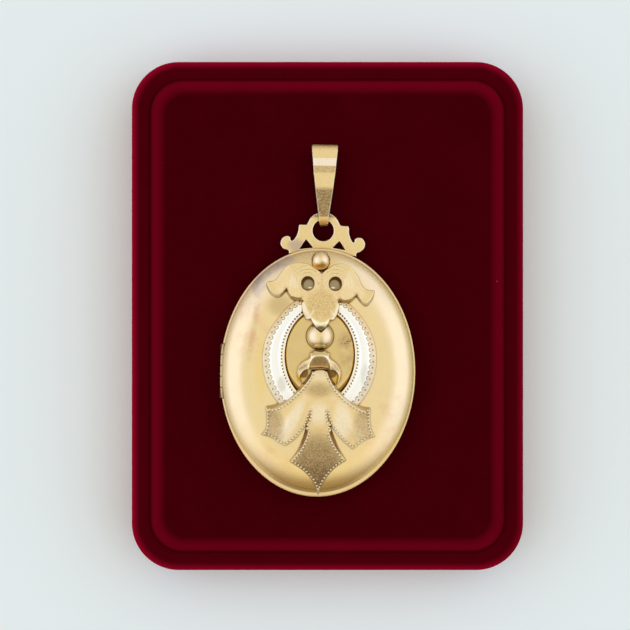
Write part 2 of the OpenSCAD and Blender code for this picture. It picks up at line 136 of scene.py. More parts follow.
# Lines between the fan's blade and its side lobes, from the top down. The first three points of each carry
# beads, and the rest run through the open slot.
LEFT_SLOT = ((-1.1, -6.3), (-1.3, -7.65), (-1.8, -9.1), (-2.95, -11.2), (-4.1, -12.8), (-7.5, -16.5))
RIGHT_SLOT = ((1.7, -6.3), (1.85, -7.65), (2.35, -9.1), (3.65, -11.2), (5.0, -13.1), (8.0, -16.5))
CRESTING_EDGE = (
    ((-5.49, 20.7), (-5.57, 21.28), (-6.5, 21.62), (-7.0, 22.5), (-6.7, 23.5), (-5.88, 23.96),
     (-5.25, 23.75)),
    ((-5.12, 23.25), (-4.95, 23.13), (-4.75, 23.2), (-4.3, 23.8), (-3.95, 24.7), (-3.85, 25.5),
     (-3.8, 25.85)),
    ((-3.65, 25.98), (-3.0, 25.98)),
    ((-2.4, 25.98), (-1.82, 27.1), (-0.92, 27.86), (0.53, 28.2), (1.9, 27.9), (2.92, 27.1), (3.56, 25.93)),
    ((3.56, 25.93), (4.2, 25.86)),
    ((4.95, 25.82), (5.12, 25.4), (5.15, 24.5), (5.44, 23.6), (5.75, 23.05), (5.93, 22.95)),
    ((6.03, 23.1), (6.1, 23.55), (6.7, 23.85), (7.5, 23.65), (8.0, 22.75), (7.75, 21.8), (7.1, 21.2),
     (6.51, 20.97)),
    ((6.45, 20.4),))
PIERCINGS = (
    (((-2.44, 23.25),), ((-3.5, 21.66),), ((-2.4, 21.85),), ((-1.3, 21.9),)),
    (((3.41, 23.03),), ((2.3, 21.95),), ((3.3, 21.82),), ((4.37, 21.6),)))
# Lines along which the shield's facets fall away to the right of the line, and their slopes
SHIELD_FACETS = (((-2.75, 13.0), (-1.44, 10.0), 0.27), ((2.35, 9.9), (3.3, 12.8), 0.27),
                 ((-1.34, 9.9), (0.46, 8.9), 0.12), ((0.46, 8.9), (2.0, 9.75), 0.12),
                 ((-0.92, 9.24), (0.4, 8.17), 0.22), ((0.4, 8.17), (1.84, 9.14), 0.22))
# Room in the half ball for the shield's tip
TIP = ((0.45, 6.98), (1.2, 7.66), (1.78, 8.6), (2.3, 9.2), (2.3, 10.5), (-2.2, 10.5), (-2.2, 9.1),
       (-1.45, 9.3), (-1.06, 8.56), (-0.4, 7.62))
SHIELD_CREASES = (((-2.1, 14.5), (-3.1, 12.6)), ((2.6, 14.2), (3.7, 12.5)))
SHIELD_LINES = (((-0.86, 10.94), (-1.44, 9.92)), ((2.15, 10.8), (2.7, 9.9)))
# Half width of the bail along its length, from its axis
BAIL_TAPER = ((-1.5, 0.76), (0.7, 1.05), (4.2, 1.53), (7.75, 1.97), (12.7, 2.41))


def table(rows, at):
    """Value at a place, read between the rows of (place, value)."""
    if at <= rows[0][0]:
        return rows[0][1]
    for (low, first), (high, second) in zip(rows, rows[1:]):
        if at <= high:
            return first + (second - first) * (at - low) / (high - low)
    return rows[-1][1]


def ease(low, high, at):
    """Smooth step from 0 at low to 1 at high. With high below low it falls instead."""
    share = min(1, max(0, (at - low) / (high - low)))
    return share * share * (3 - 2 * share)


def oval(ellipse, steps, grow=0.0):
    """Points round an oval given as (middle x, middle y, half width, half length)."""
    turns = [2 * math.pi * i / steps for i in range(steps)]
    return [(ellipse[0] + (ellipse[2] + grow) * math.cos(t), ellipse[1] + (ellipse[3] + grow) * math.sin(t))
            for t in turns]


def curve(knots, step):
    """Points about a step apart on the smooth curve through the knots, without the last knot."""
    points = [Vector(knot) for knot in knots]
    points = [2 * points[0] - points[1], *points, 2 * points[-1] - points[-2]]
    made = []
    for before, here, there, after in zip(points, points[1:], points[2:], points[3:]):
        count = max(1, round((there - here).length / step))
        for i in range(count):
            t = i / count
            bend = 2 * before - 5 * here + 4 * there - after
            twist = 3 * here - before - 3 * there + after
            made.append(0.5 * (2 * here + (there - before) * t + bend * t ** 2 + twist * t ** 3))
    return made


def outline(runs, step):
    """Dense points of a closed outline."""
    made = []
    for run, following in zip(runs, runs[1:] + runs[:1]):
        knots = list(run)
        if (Vector(run[-1]) - Vector(following[0])).length > 1e-6:
            knots.append(following[0])
        made.extend(curve(knots, step))
    return made


def inward(points, closed=True):
    """Unit normals that point into a counter-clockwise outline, or to the left of an open line."""
    made = []
    last = len(points) - 1
    for i, point in enumerate(points):
        before = points[i - 1] if closed or i > 0 else point
        after = points[(i + 1) % len(points)] if closed or i < last else point
        along = (after - before).normalized()
        made.append(Vector((-along.y, along.x)))
    return made


def evenly(points, pitch, closed=True):
    """Points the same distance apart along a line, close to the pitch."""
    path = [*points, points[0]] if closed else list(points)
    lengths = [(b - a).length for a, b in zip(path, path[1:])]
    count = max(2, round(sum(lengths) / pitch))
    targets = [sum(lengths) * i / count for i in range(count if closed else count + 1)]
    made, walked, i = [], 0.0, 0
    for target in targets:
        while i < len(lengths) - 1 and walked + lengths[i] < target:
            walked += lengths[i]
            i += 1
        share = min(1.0, (target - walked) / max(lengths[i], 1e-9))
        made.append(path[i].lerp(path[i + 1], share))
    return made


def is_inside(x, y, points):
    """Whether a point lies inside a closed outline."""
    found = False
    for a, b in zip(points, points[1:] + points[:1]):
        if (a.y > y) != (b.y > y) and x < a.x + (y - a.y) * (b.x - a.x) / (b.y - a.y):
            found = not found
    return found


def tree_of(points):
    """Search tree over flat points."""
    tree = KDTree(len(points))
    for i, point in enumerate(points):
        tree.insert((point[0], point[1], 0), i)
    tree.balance()
    return tree


def on_pad(x, y, z):
    """A place in the locket's own frame as a place on the pad, in metres."""
    c, s = math.cos(TURN), math.sin(TURN)
    return Vector((CENTRE.x + c * x - s * y, CENTRE.y + s * x + c * y, PAD_HIGH.z + z)) * MM


def length_property(name, description, millimetres):
    """A size that a user may change. Blender keeps it in metres."""
    return FloatProperty(name=name, description=description, default=millimetres * MM, subtype="DISTANCE",
                         unit="LENGTH")


def colour_property(name, description, *default):
    """A colour that a user may change."""
    return FloatVectorProperty(name=name, description=description, default=default, subtype="COLOR",
                               min=0, max=1)


class LocketSizes(bpy.types.PropertyGroup):
    """Sizes that a user may change"""

    body_width: length_property("Body width", "Width of the oval body", 2 * BODY_HALF_WIDTH)
    body_length: length_property("Body length", "Length of the oval body", 43.5)
    shoulder_width: length_property("Shoulder width", "Width of the rounded shoulder", 4.45)
    shoulder_rise: length_property("Shoulder rise", "Height of the rounded shoulder", 3)
    lid_dome: length_property("Lid dome", "Further rise of the lid to its middle", 0.9)
    back_dome: length_property("Back dome", "Further rise of the back to its middle", 0.7)
    sheet: length_property("Sheet", "Thickness of the case's sheet metal", 0.5)
    hinge_length: length_property("Hinge length", "Length of the row of knuckles", 9.6)
    knuckle_radius: length_property("Knuckle radius", "Outer radius of a knuckle", 0.6)
    bail_length: length_property("Bail length", "Length of the bail beyond its axis", 12.9)
    bail_strip: length_property("Bail strip", "Thickness of the bail's strip", 0.42)
    ring_rise: length_property("Ring rise", "Rise of the white ring above the lid", 0.65)
    crest_rise: length_property("Crest rise", "Rise of the winged crest above the lid", 1.75)
    fan_rise: length_property("Fan rise", "Rise of the fan above the lid", 1.4)
    bell_rise: length_property("Bell rise", "Rise of the bell cap above the lid", 2.5)
    top_ball_radius: length_property("Top ball radius", "Radius of the ball in the notch", 1.7)
    half_ball_radius: length_property("Half ball radius", "Radius of the polished half ball", 2.4)
    half_ball_rise: length_property("Half ball rise", "Height of the polished half ball", 1.7)
    bead: length_property("Bead", "Radius of a bead on the fan's edge", 0.2)
    bead_pitch: length_property("Bead pitch", "Distance from one bead to the next", 0.62)
    pad_length: length_property("Pad length", "Length of the pad, with the pile of its velvet", 90.9)
    pad_roll: length_property("Pad roll", "Radius of the pad's outer edge", 1.6)
    pad_corner: length_property("Pad corner", "Radius of the pad's corners", 8.4)
    field_inset: length_property("Field inset", "Distance of the raised field from the edge", 3.5)
    field_rise: length_property("Field rise", "Rise of the raised field", FIELD_RISE)


class LocketColours(bpy.types.PropertyGroup):
    """Colours that a user may change"""

    gold: colour_property("Gold", "Polished yellow gold of the case", 0.87, 0.655, 0.3)
    matte_gold: colour_property("Matte gold", "Sandblasted yellow gold of the ornament", 0.86, 0.63, 0.25)
    white_gold: colour_property("White gold", "Polished pale gold of the ring", 0.98, 0.93, 0.76)
    rose: colour_property("Rose stain", "Red-brown bloom on the gold", 0.78, 0.42, 0.2)
    tarnish: colour_property("Tarnish", "Grey-purple tarnish", 0.42, 0.33, 0.27)
    velvet: colour_property("Velvet", "Deep red of the velvet's pile", 0.053, 0.0002, 0.0018)
    velvet_sheen: colour_property("Velvet sheen", "Bloom of the pile seen from its side", 0.75, 0.01, 0.05)
    # Colour of the painted sheen on the velvet's rolled edges.
    velvet_rim_sheen: colour_property("Velvet rim", "Crimson of the pile on the rolled edges", 0.33, 0.002, 0.015)
    floor: colour_property("Floor", "Pale ground", 0.83, 0.85, 0.64)


class Form:
    """Sizes in millimetres and the surfaces that follow from them."""

    def __init__(self, sizes):
        for name in sizes.__annotations__:
            setattr(self, name, getattr(sizes, name) / MM)
        self.half_w = self.body_width / 2
        self.stretch = self.body_length / self.body_width
        self.hinge_x = HINGE_INSET - self.half_w
        self.lid_base = SEAM + GAP / 2
        self.back_base = SEAM - GAP / 2

    def spread(self, x, y):
        """Distance from the body's middle, measured along its width."""
        return math.hypot(x, y / self.stretch)

    def dome(self, q, dome):
        """Rise of a half of the case above its rim, at a distance from the middle."""
        turned = max(0, (q - self.half_w + self.shoulder_width) / self.shoulder_width)
        return self.shoulder_rise * math.sqrt(max(0, 1 - turned ** 2)) + dome * (1 - (q / self.half_w) ** 2)

    def lid(self, x, y, q_max=16.9):
        """Height of the lid's outer surface."""
        return self.lid_base + self.dome(min(q_max, self.spread(x, y)), self.lid_dome)


class Shape:
    """Corners and faces of one piece in the locket's own frame. Polish is 1 on a polished edge and 0 on a
    matte face; the finishes make such places smoother and paint them paler, which is a painted highlight,
    and on the velvet it is the strength of a painted sheen. Pit is 1 at the bottom of a punched mark, and
    it also carries painted shade on the sides of raised work and in the dips between beads."""

    def __init__(self):
        self.corners, self.faces, self.polish, self.pit = [], [], [], []

    def put(self, points, polish=0.0, pit=0.0):
        """Adds corners and gives their numbers."""
        start = len(self.corners)
        for i, point in enumerate(points):
            self.corners.append(tuple(point))
            self.polish.append(polish[i] if isinstance(polish, list) else polish)
            self.pit.append(pit[i] if isinstance(pit, list) else pit)
        return list(range(start, len(self.corners)))

    def skin(self, loops, ring=False):
        """Quads between loops of corners, each of them closed. With ring the last loop meets the first."""
        pairs = zip(loops, loops[1:] + loops[:1]) if ring else zip(loops, loops[1:])
        for low, high in pairs:
            for i in range(len(low)):
                j = (i + 1) % len(low)
                self.faces.append((low[i], low[j], high[j], high[i]))

    def cap(self, loop, middle):
        """Triangles from a loop to one more corner."""
        (top,) = self.put([middle])
        for i in range(len(loop)):
            self.faces.append((loop[i], loop[(i + 1) % len(loop)], top))

    def web(self, rims, points, marks, up=True):
        """Triangles over the area inside the first rim and outside the others, through loose points.
        A mark is a loose point's (polish, pit)."""
        numbers = [i for rim in rims for i in rim]
        flat = [Vector(self.corners[i][:2]) for i in numbers] + [Vector(p[:2]) for p in points]
        fences, start = [], 0
        for rim in rims:
            fences.extend((start + i, start + (i + 1) % len(rim)) for i in range(len(rim)))
            start += len(rim)
        made, _, faces, sources, _, _ = delaunay_2d_cdt(flat, fences, [], 1, 1e-6, True)
        loose = self.put(points, [m[0] for m in marks], [m[1] for m in marks])
        numbers += loose
        tree = tree_of(flat)
        chosen = [numbers[source[0] if source else tree.find((*at, 0))[1]]
                  for at, source in zip(made, sources)]
        walls = [[Vector(self.corners[i][:2]) for i in rim] for rim in rims]
        on_rims = set(numbers) - set(loose)
        for face in faces:
            corners = [chosen[i] for i in face]
            if len(set(corners)) < len(corners):
                continue
            if on_rims.issuperset(corners):
                middle = sum((made[i] for i in face), Vector((0, 0))) / len(face)
                within = [is_inside(*middle, wall) for wall in walls]
                if not within[0] or any(within[1:]):
                    continue
            self.faces.append(tuple(corners if up else reversed(corners)))

    def bead(self, at, radius):
        """A small round bead that sits half in the surface at a point."""
        sides = 8
        loops = []
        for lift in (-0.5, 0.1, 0.6, 0.87):
            reach = radius * math.sqrt(1 - lift ** 2)
            circle = oval((at[0], at[1], reach, reach), sides)
            loops.append(self.put([(x, y, at[2] + radius * lift) for x, y in circle], polish=1.0))
        self.skin(loops)
        self.faces.append(tuple(reversed(loops[0])))
        self.cap(loops[-1], (at[0], at[1], at[2] + radius))


def relief(shape, edges, height, foot, wall, grid, marks=(), soft=0.07, closed=True, steps=(0.5,),
           wall_polish=0.2, wall_shade=0.3, edge_polish=1.0, shine=lambda x, y: 0.0):
    """Raised work with a flat or shaped top. The first edge is its outline, and the others are holes.
    height and foot give the top and the lower edge at a place, and shine the polish of the top there. wall
    is the width of the side at a place with an inward normal, steps are shares of that width, and soft is
    the width of the rounding. Marks are extra points (x, y, change of height, polish, pit)."""
    rims, loose, values, widths, flat = [], [], [], [], []
    normals = [inward(edge) for edge in edges]
    for edge, sides in zip(edges, normals):
        # The sides get a polish value that paints them paler as a highlight, and a pit value that paints
        # shade on them.
        rims.append(shape.put([(p.x, p.y, foot(p.x, p.y)) for p in edge], wall_polish, wall_shade))
        widths.extend(wall(p, n) for p, n in zip(edge, sides))
        flat.extend(edge)
    near = tree_of(flat)
    i = 0
    for edge, sides in zip(edges, normals):
        for p, n in zip(edge, sides):
            width = widths[i]
            i += 1
            for share in (*steps, 1, 2, 3):
                reach = width * min(share, 1) + soft * max(0, share - 1)
                spot = p + n * reach
                if near.find((*spot, 0))[2] < 0.93 * reach:
                    continue
                top, low = height(spot.x, spot.y), foot(spot.x, spot.y)
                drop = {1: 0.6 * soft, 2: 0.1 * soft}.get(share, 0)
                level = top - drop if share >= 1 else low + (top - low) * share ** 0.7
                loose.append((spot.x, spot.y, level))
                if share < 1:
                    values.append((wall_polish, wall_shade))
                else:
                    values.append(({1: edge_polish, 2: 0.7 * edge_polish}.get(share, shine(*spot)), 0.0))
    outer, holes = edges[0], edges[1:]

    def is_clear(x, y, past):
        """Whether a place on the top keeps clear of all the edges."""
        _, index, distance = near.find((x, y, 0))
        if distance < widths[index] + 3 * soft + past or not is_inside(x, y, outer):
            return False
        return not any(is_inside(x, y, hole) for hole in holes)

    for x, y, change, polish, pit in marks:
        if is_clear(x, y, 0.02):
            loose.append((x, y, height(x, y) + change))
            values.append((polish, pit))
    taken = tree_of(loose)
    row_height = grid * math.sqrt(3) / 2
    low_x, high_x = min(p.x for p in outer), max(p.x for p in outer)
    low_y, high_y = min(p.y for p in outer), max(p.y for p in outer)
    for row in range(int((high_y - low_y) / row_height)):
        for column in range(int((high_x - low_x) / grid) + 1):
            x, y = low_x + (column + row % 2 / 2) * grid, low_y + (row + 0.5) * row_height
            if taken.find((x, y, 0))[2] > 0.62 * grid and is_clear(x, y, 0.3 * grid):
                loose.append((x, y, height(x, y)))
                values.append((shine(x, y), 0.0))
    shape.web(rims, loose, values)
    if closed:
        shape.web(rims, [], [], up=False)


def piece(context, shape, name, body, slot, replaced=None, sharp=40.0, place=on_pad):
    """Makes the Blender object of a shape, puts it on its body and hides the part that it replaces."""
    mesh = bpy.data.meshes.new(name)
    mesh.from_pydata([place(*corner) for corner in shape.corners], [], shape.faces)
    for label, values in (("polish", shape.polish), ("pit", shape.pit)):
        mesh.attributes.new(label, "FLOAT", "POINT").data.foreach_set("value", values)
    work = bmesh.new()
    work.from_mesh(mesh)
    bmesh.ops.dissolve_degenerate(work, edges=work.edges, dist=1e-8)
    bmesh.ops.recalc_face_normals(work, faces=work.faces)
    work.to_mesh(mesh)
    work.free()
    obj = bpy.data.objects.new(name, mesh)
    context.scene.collection.objects.link(obj)
    return finished(context, obj, body, slot, replaced, sharp)


def finished(context, obj, body, slot, replaced=None, sharp=40.0):
    """Gives an object its shading, the material for its slot and its body, and hides the part that it
    replaces.
    """
    mesh = obj.data
    mesh.polygons.foreach_set("use_smooth", [True] * len(mesh.polygons))
    mesh.set_sharp_from_angle(angle=math.radians(sharp))
    mesh.materials.clear()
    mesh.materials.append(finish_for(context, slot))
    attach(obj, body)
    if replaced:
        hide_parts(replaced)
    return obj


def carved(obj, cutters):
    """Cuts closed shapes out of an object and keeps the result in its mesh."""
    for number, cutter in enumerate(cutters):
        mesh = bpy.data.meshes.new("cutter")
        mesh.from_pydata([on_pad(*corner) for corner in cutter.corners], [], cutter.faces)
        tool = bpy.data.objects.new(f"cutter_{number}", mesh)
        bpy.context.scene.collection.objects.link(tool)
        cut = obj.modifiers.new(tool.name, "BOOLEAN")
        cut.object = tool
        cut.solver = "EXACT"
    bpy.context.view_layer.update()
    result = bpy.data.meshes.new_from_object(obj.evaluated_get(bpy.context.evaluated_depsgraph_get()))
    tools = [cut.object for cut in obj.modifiers]
    obj.modifiers.clear()
    obj.data = result
    for tool in tools:
        bpy.data.objects.remove(tool)


class Wire:
    """A socket in a material. Arithmetic on it adds Math nodes."""

    def __init__(self, paint, socket):
        self.paint, self.socket = paint, socket

    def math(self, operation, *others):
        """Adds a Math node on this wire and the others."""
        values = {i: value for i, value in enumerate((self, *others))}
        return self.paint.node("ShaderNodeMath", {"operation": operation}, values)

    def __add__(self, other):
        return self.math("ADD", other)

    def __sub__(self, other):
        return self.math("SUBTRACT", other)

    def __mul__(self, other):
        return self.math("MULTIPLY", other)

    def __truediv__(self, other):
        return self.math("DIVIDE", other)

    def __pow__(self, other):
        return self.math("POWER", other)

    def __rsub__(self, other):
        return self.paint.node("ShaderNodeMath", {"operation": "SUBTRACT"}, {0: other, 1: self})

    __radd__, __rmul__ = __add__, __mul__

    def step(self, low, high):
        """Smooth step from 0 at low to 1 at high."""
        return self.paint.node("ShaderNodeMapRange", {"interpolation_type": "SMOOTHSTEP"},
                               {"Value": self, "From Min": low, "From Max": high})

    def band(self, low, full, fading, gone):
        """1 from full to fading, and 0 below low and above gone."""
        return self.step(low, full) * (1 - self.step(fading, gone))

    def near(self, middle, inner, outer):
        """1 within the inner distance of a middle, and 0 beyond the outer distance."""
        return 1 - (self - middle).math("ABSOLUTE").step(inner, outer)


class Paint:
    """A material or a world and its nodes. One Principled shader or Background takes the result. Colour is
    the base colour so far, as coats are laid over it."""

    def __init__(self, owner, shader, constants):
        self.colour = None
        owner.use_nodes = True
        self.tree = owner.node_tree
        self.tree.nodes.clear()
        self.shader = self.tree.nodes.new(shader)
        for name, value in constants.items():
            self.shader.inputs[name].default_value = value

    def node(self, kind, settings=None, inputs=None, output=0):
        """Adds a node: its settings first, then the values or links of its sockets."""
        made = self.tree.nodes.new(kind)
        for name, value in (settings or {}).items():
            setattr(made, name, value)
        for name, value in (inputs or {}).items():
            self.feed(made.inputs[name], value)
        return Wire(self, made.outputs[output])

    def feed(self, socket, value):
        """Links a wire to a socket, or sets the socket's own value."""
        if isinstance(value, Wire):
            self.tree.links.new(value.socket, socket)
        elif hasattr(value, "__len__") and len(value) == 3 and len(socket.default_value) == 4:
            socket.default_value = (*value, 1)
        else:
            socket.default_value = value

    def mix(self, factor, first, second):
        """Mixes two colours."""
        return self.node("ShaderNodeMix", {"data_type": "RGBA", "blend_type": "MIX", "clamp_factor": True},
                         {0: factor, 6: first, 7: second}, 2)

    def coat(self, mask, tint):
        """Lays a tint over the colour so far where the mask is 1."""
        self.colour = self.mix(mask, self.colour, tint)

    def noise(self, at, scale, detail, roughness):
        """Noise from 0 to 1, with its scale in repeats to a millimetre."""
        return self.node("ShaderNodeTexNoise", {"noise_type": "FBM"},
                         {"Vector": at, "Scale": scale, "Detail": detail, "Roughness": roughness})

    def place(self):
        """The place on the object in the locket's own frame, as a vector and as x, y and z."""
        here = self.node("ShaderNodeTexCoord", output="Object")
        moved = self.node("ShaderNodeVectorMath", {"operation": "SUBTRACT"},
                          {0: here, 1: (CENTRE.x * MM, CENTRE.y * MM, PAD_HIGH.z * MM)})
        turned = self.node("ShaderNodeVectorRotate", {"rotation_type": "Z_AXIS"},
                           {"Vector": moved, "Angle": -TURN})
        scaled = self.node("ShaderNodeVectorMath", {"operation": "SCALE"}, {0: turned, "Scale": 1 / MM})
        parts = self.node("ShaderNodeSeparateXYZ", None, {0: scaled}).socket.node.outputs
        return scaled, *(Wire(self, part) for part in parts)

    def attribute(self, name):
        """A value kept at the mesh's corners."""
        return self.node("ShaderNodeAttribute", {"attribute_name": name}, output="Fac")

    def bumped(self, height, distance, strength):
        """Feeds a height from 0 to 1 to the shader's normal. The distance is in metres."""
        sockets = {"Height": height, "Distance": distance, "Strength": strength}
        self.feed(self.shader.inputs["Normal"], self.node("ShaderNodeBump", None, sockets))

    def finish(self, **sockets):
        """Feeds the shader's sockets by name, and links it to the output."""
        for name, value in sockets.items():
            self.feed(self.shader.inputs[name.replace("_", " ").title()], value)
        kind = "ShaderNodeOutputWorld" if self.shader.type == "BACKGROUND" else "ShaderNodeOutputMaterial"
        out = self.tree.nodes.new(kind)
        self.tree.links.new(self.shader.outputs[0], out.inputs["Surface"])


def material(name, **constants):
    """A new material around one Principled shader, with the constants set on its sockets."""
    made = bpy.data.materials.new(name)
    sockets = {key.replace("_", " ").title().replace("Ior", "IOR"): value
               for key, value in constants.items()}
    return made, Paint(made, "ShaderNodeBsdfPrincipled", sockets)


def patch(x, y, middle, reach, soft=1.0):
    """Round or oval mask that is 1 in its middle and 0 beyond its reach."""
    spread = ((x - middle[0]) / reach[0]) ** 2 + ((y - middle[1]) / reach[1]) ** 2
    return 1 - spread.step(1 - soft, 1)


def patches(x, y, rows):
    """Sum of patches, from rows of (middle, reach, softness, strength)."""
    masks = [(patch(x, y, middle, reach, soft), strength) for middle, reach, soft, strength in rows]
    return sum(mask if strength == 1 else mask * strength for mask, strength in masks)


def crevices(paint, reach):
    """Ambient occlusion mask for painted shade: 1 deep in the corners and 0 on open faces. Reach is in
    millimetres.
    """
    openness = paint.node("ShaderNodeAmbientOcclusion", {"samples": 8}, {"Distance": reach * MM}, "AO")
    return 1 - openness.step(0.3, 0.85)


# Marks in the finishes, as rows of (middle, reach, softness, strength)
ROSE_STAINS = (((13.3, -10.0), (6.5, 8.5), 1, 1), ((-11.5, 8.0), (4.0, 8.0), 1, 1),
               ((-7.5, -16.5), (5.5, 4.0), 1, 1), ((4.0, -19.5), (6.0, 2.5), 1, 1))
EYE_FLOORS = (((-1.85, 15.3), (1.0, 1.05), 0.5, 1), ((2.65, 15.3), (1.0, 1.05), 0.5, 1))
EYE_GLINTS = (((-1.5, 14.8), (0.55, 0.22), 1, 1), ((2.35, 14.85), (0.55, 0.22), 1, 1))
HORN_NOOK_SHADOWS = (((-2.45, 0.0), (0.95, 1.05), 0.6, 1), ((2.5, 0.1), (0.95, 1.05), 0.6, 1))
HORN_REFLECTIONS = (((-3.15, -0.85), (0.65, 0.9), 0.7, 1), ((3.2, -0.85), (0.65, 0.9), 0.7, 1))
HORN_TIP_REFLECTIONS = (((-3.2, -0.8), (0.8, 0.9), 1, 1), ((3.7, -0.8), (0.8, 0.9), 1, 1))
SLOT_HEADS = (((-2.2, -10.3), (1.0, 1.7), 1, 1), ((2.8, -10.3), (1.0, 1.7), 1, 1))
FAN_HIGHLIGHTS = (((4.3, -8.3), (2.0, 4.8), 1, 1), ((0.3, -6.9), (2.2, 2.6), 1, 0.8),
              ((0.3, -0.6), (1.8, 1.1), 1, 0.5))
FAN_SHADES = (((0.15, -2.8), (2.7, 1.9), 1, 0.26), ((-7.8, -9.6), (2.7, 4.4), 0.8, 0.42),
              ((8.4, -9.2), (2.7, 4.2), 0.8, 0.34))
BELL_SHADES = (((-2.5, 1.0), (0.9, 1.3), 1, 0.35), ((3.1, 1.0), (0.9, 1.3), 1, 0.35))
CREST_BLOTCHES = (((0.4, 11.9), (3.0, 2.9), 0.6, 1), ((0.4, 15.6), (0.9, 2.2), 1, 0.6))
RING_FOLD_SHADES = (((-6.2, -2.0), (1.0, 1.7), 0.8, 0.45), ((8.2, -0.6), (0.9, 3.0), 0.8, 0.4))


def weathering(paint, colours, x, y, out, outer, cloud):
    """Rose stains, a warm glow, brown streaks and the grey tarnish, of which it gives the mask."""
    rose = (patches(x, y, ROSE_STAINS) * outer + 0.2) * cloud.step(0.42, 0.75) * 0.4
    spot = patch(x, y, (10.9, -14.0), (1.05, 0.7), 0.5) * 0.3 * outer
    glow = patch(x, y, (-9.8, 0.6), (1.7, 7.0)) * 0.6 * outer
    streak = (x - y * 0.14).near(-12.3, 0.15, 0.75) * y.band(1, 4, 11, 14)
    smear = patch(x + (y + 13.5) * 0.9, y, (-8.0, -13.5), (1.1, 2.0))
    shoulder = patch(x, y, (-8.4, 17.6), (5.4, 5.0), 0.6) * out.band(15.4, 16.0, 16.85, 17.0)
    side = patch(x, y, (-10.4, 14.6), (1.7, 2.6), 0.8) * out.step(14.3, 15.2) * (1 - shoulder)
    grey = (shoulder + side * 0.5) * (0.4 + 0.6 * cloud.step(0.3, 0.65)) * 0.7 * outer
    paint.coat(rose + spot, colours.rose)
    paint.coat(glow, (0.87, 0.62, 0.2))
    paint.coat((streak + smear) * (0.35 + 0.65 * cloud.step(0.35, 0.6)) * 0.4 * outer, (0.62, 0.33, 0.15))
    paint.coat(grey, colours.tarnish)
    return grey


def oval_field(paint, x, y, on_lid, cloud, fine):
    """Brass tones and stains in the oval inside the white ring, a painted reflection line near its edge and
    painted amber reflections by the bell's horns. It gives the mask of the trench at the oval's edge, which
    is wider at the foot and where painted shadow goes."""
    well = ((x - RING_INNER[0]) / RING_INNER[2]) ** 2 + ((y - RING_INNER[1]) / RING_INNER[3]) ** 2
    edge = well + 0.14 * (1 - y.step(-2.8, 1.5))
    floor = (1 - well.step(0.93, 0.97)) * on_lid
    line = edge.band(0.865, 0.885, 0.92, 0.935) * on_lid
    stain = patch(x + 1.5 * cloud, y + 1.5 * fine, (6.0, 6.6), (1.7, 1.0)) * fine.step(0.5, 0.56) * on_lid
    dusk = patch(x, y, (5.2, 4.0), (2.4, 5.0)) * cloud.step(0.35, 0.65) * 0.35 + stain * 0.7
    paint.coat(floor * (0.5 + 0.5 * cloud), (0.68, 0.48, 0.17))
    # Painted reflection: a bright orange line just inside the trench.
    paint.coat(line * 0.8, (0.95, 0.58, 0.1))
    # Painted amber reflections on the field by the bell's horns.
    paint.coat(patches(x, y, HORN_REFLECTIONS) * on_lid * 0.8, (0.72, 0.45, 0.03))
    paint.coat(dusk * floor, (0.32, 0.17, 0.08))
    return edge.step(0.925, 0.945) * (1 - well.step(1.0, 1.02)) * on_lid


def crest_eyes(paint, x, y, outer):
    """Painted shade in the wells below the crest's eyes, with a painted shadow crescent at their top and a
    small painted highlight. It gives the mask of the wells.
    """
    wells = sum(patch(x, y, eye, (1.5, 1.5), 0.3) for eye in CREST_EYES) * outer
    # Painted shade in the wells, a painted shadow at their top and small painted highlights.
    paint.coat(wells * 0.85, (0.34, 0.26, 0.12))
    paint.coat(wells * (1 - patches(x, y, EYE_FLOORS)) * y.step(14.7, 15.4), (0.1, 0.05, 0.015))
    paint.coat(patches(x, y, EYE_GLINTS) * outer, (1.0, 0.85, 0.5))
    return wells


def notch_ball_tones(paint, x, y, z):
    """Painted amber reflection of the crest on the foot of the ball in the crest's notch, and a painted
    dark reflection in its middle.
    """
    high_up = z.step(7.0, 7.1)
    amber_reflection = (1 - y.step(18.7, 19.3)) * high_up * patch(x, y, (0.4, 19.5), (2.2, 2.2), 0.2)
    paint.coat(amber_reflection * 0.8, (0.85, 0.47, 0.08))
    paint.coat(patch(x, y, (0.55, 19.0), (0.6, 0.5)) * high_up * 0.7, (0.3, 0.22, 0.1))


def case_edges(paint, x, y, z, out, outer):
    """Painted shade below the crest's left wing, and tones of the case's edges: painted shade on the rim, a
    warmer tone on the lower shoulder, a painted highlight on the lip at the foot, a painted shade band just
    inside it, and a warmer tone along the right edge.
    """
    rim = out.step(16.6, 16.8) * (1 - z.step(SEAM + 0.4, SEAM + 0.7))
    low = (1 - y.step(-15, -5)) * out.step(11.5, 14.5) * outer
    lip = out.step(16.3, 16.4) * (1 - y.step(-16, -13)) * outer
    brink = out.band(15.75, 16.0, 16.4, 16.6) * (1 - y.step(-20, -17)) * outer
    paint.coat(patch(x, y, (-6.7, 11.6), (2.8, 2.4)) * outer * 0.55, (0.5, 0.34, 0.13))
    # Painted shade on the rim, a warmer lower shoulder, a painted highlight on the lip, a painted shade
    # band inside it and a warmer right edge.
    paint.coat(rim * 0.5, (0.76, 0.5, 0.17))
    paint.coat(low * 0.45, (1.0, 0.68, 0.18))
    paint.coat(lip * 0.2, (1.0, 0.78, 0.46))
    paint.coat(brink * 0.55, (0.4, 0.24, 0.08))
    paint.coat(out.step(15.6, 16.1) * x.step(6, 13) * 0.3 * outer, (0.8, 0.58, 0.12))


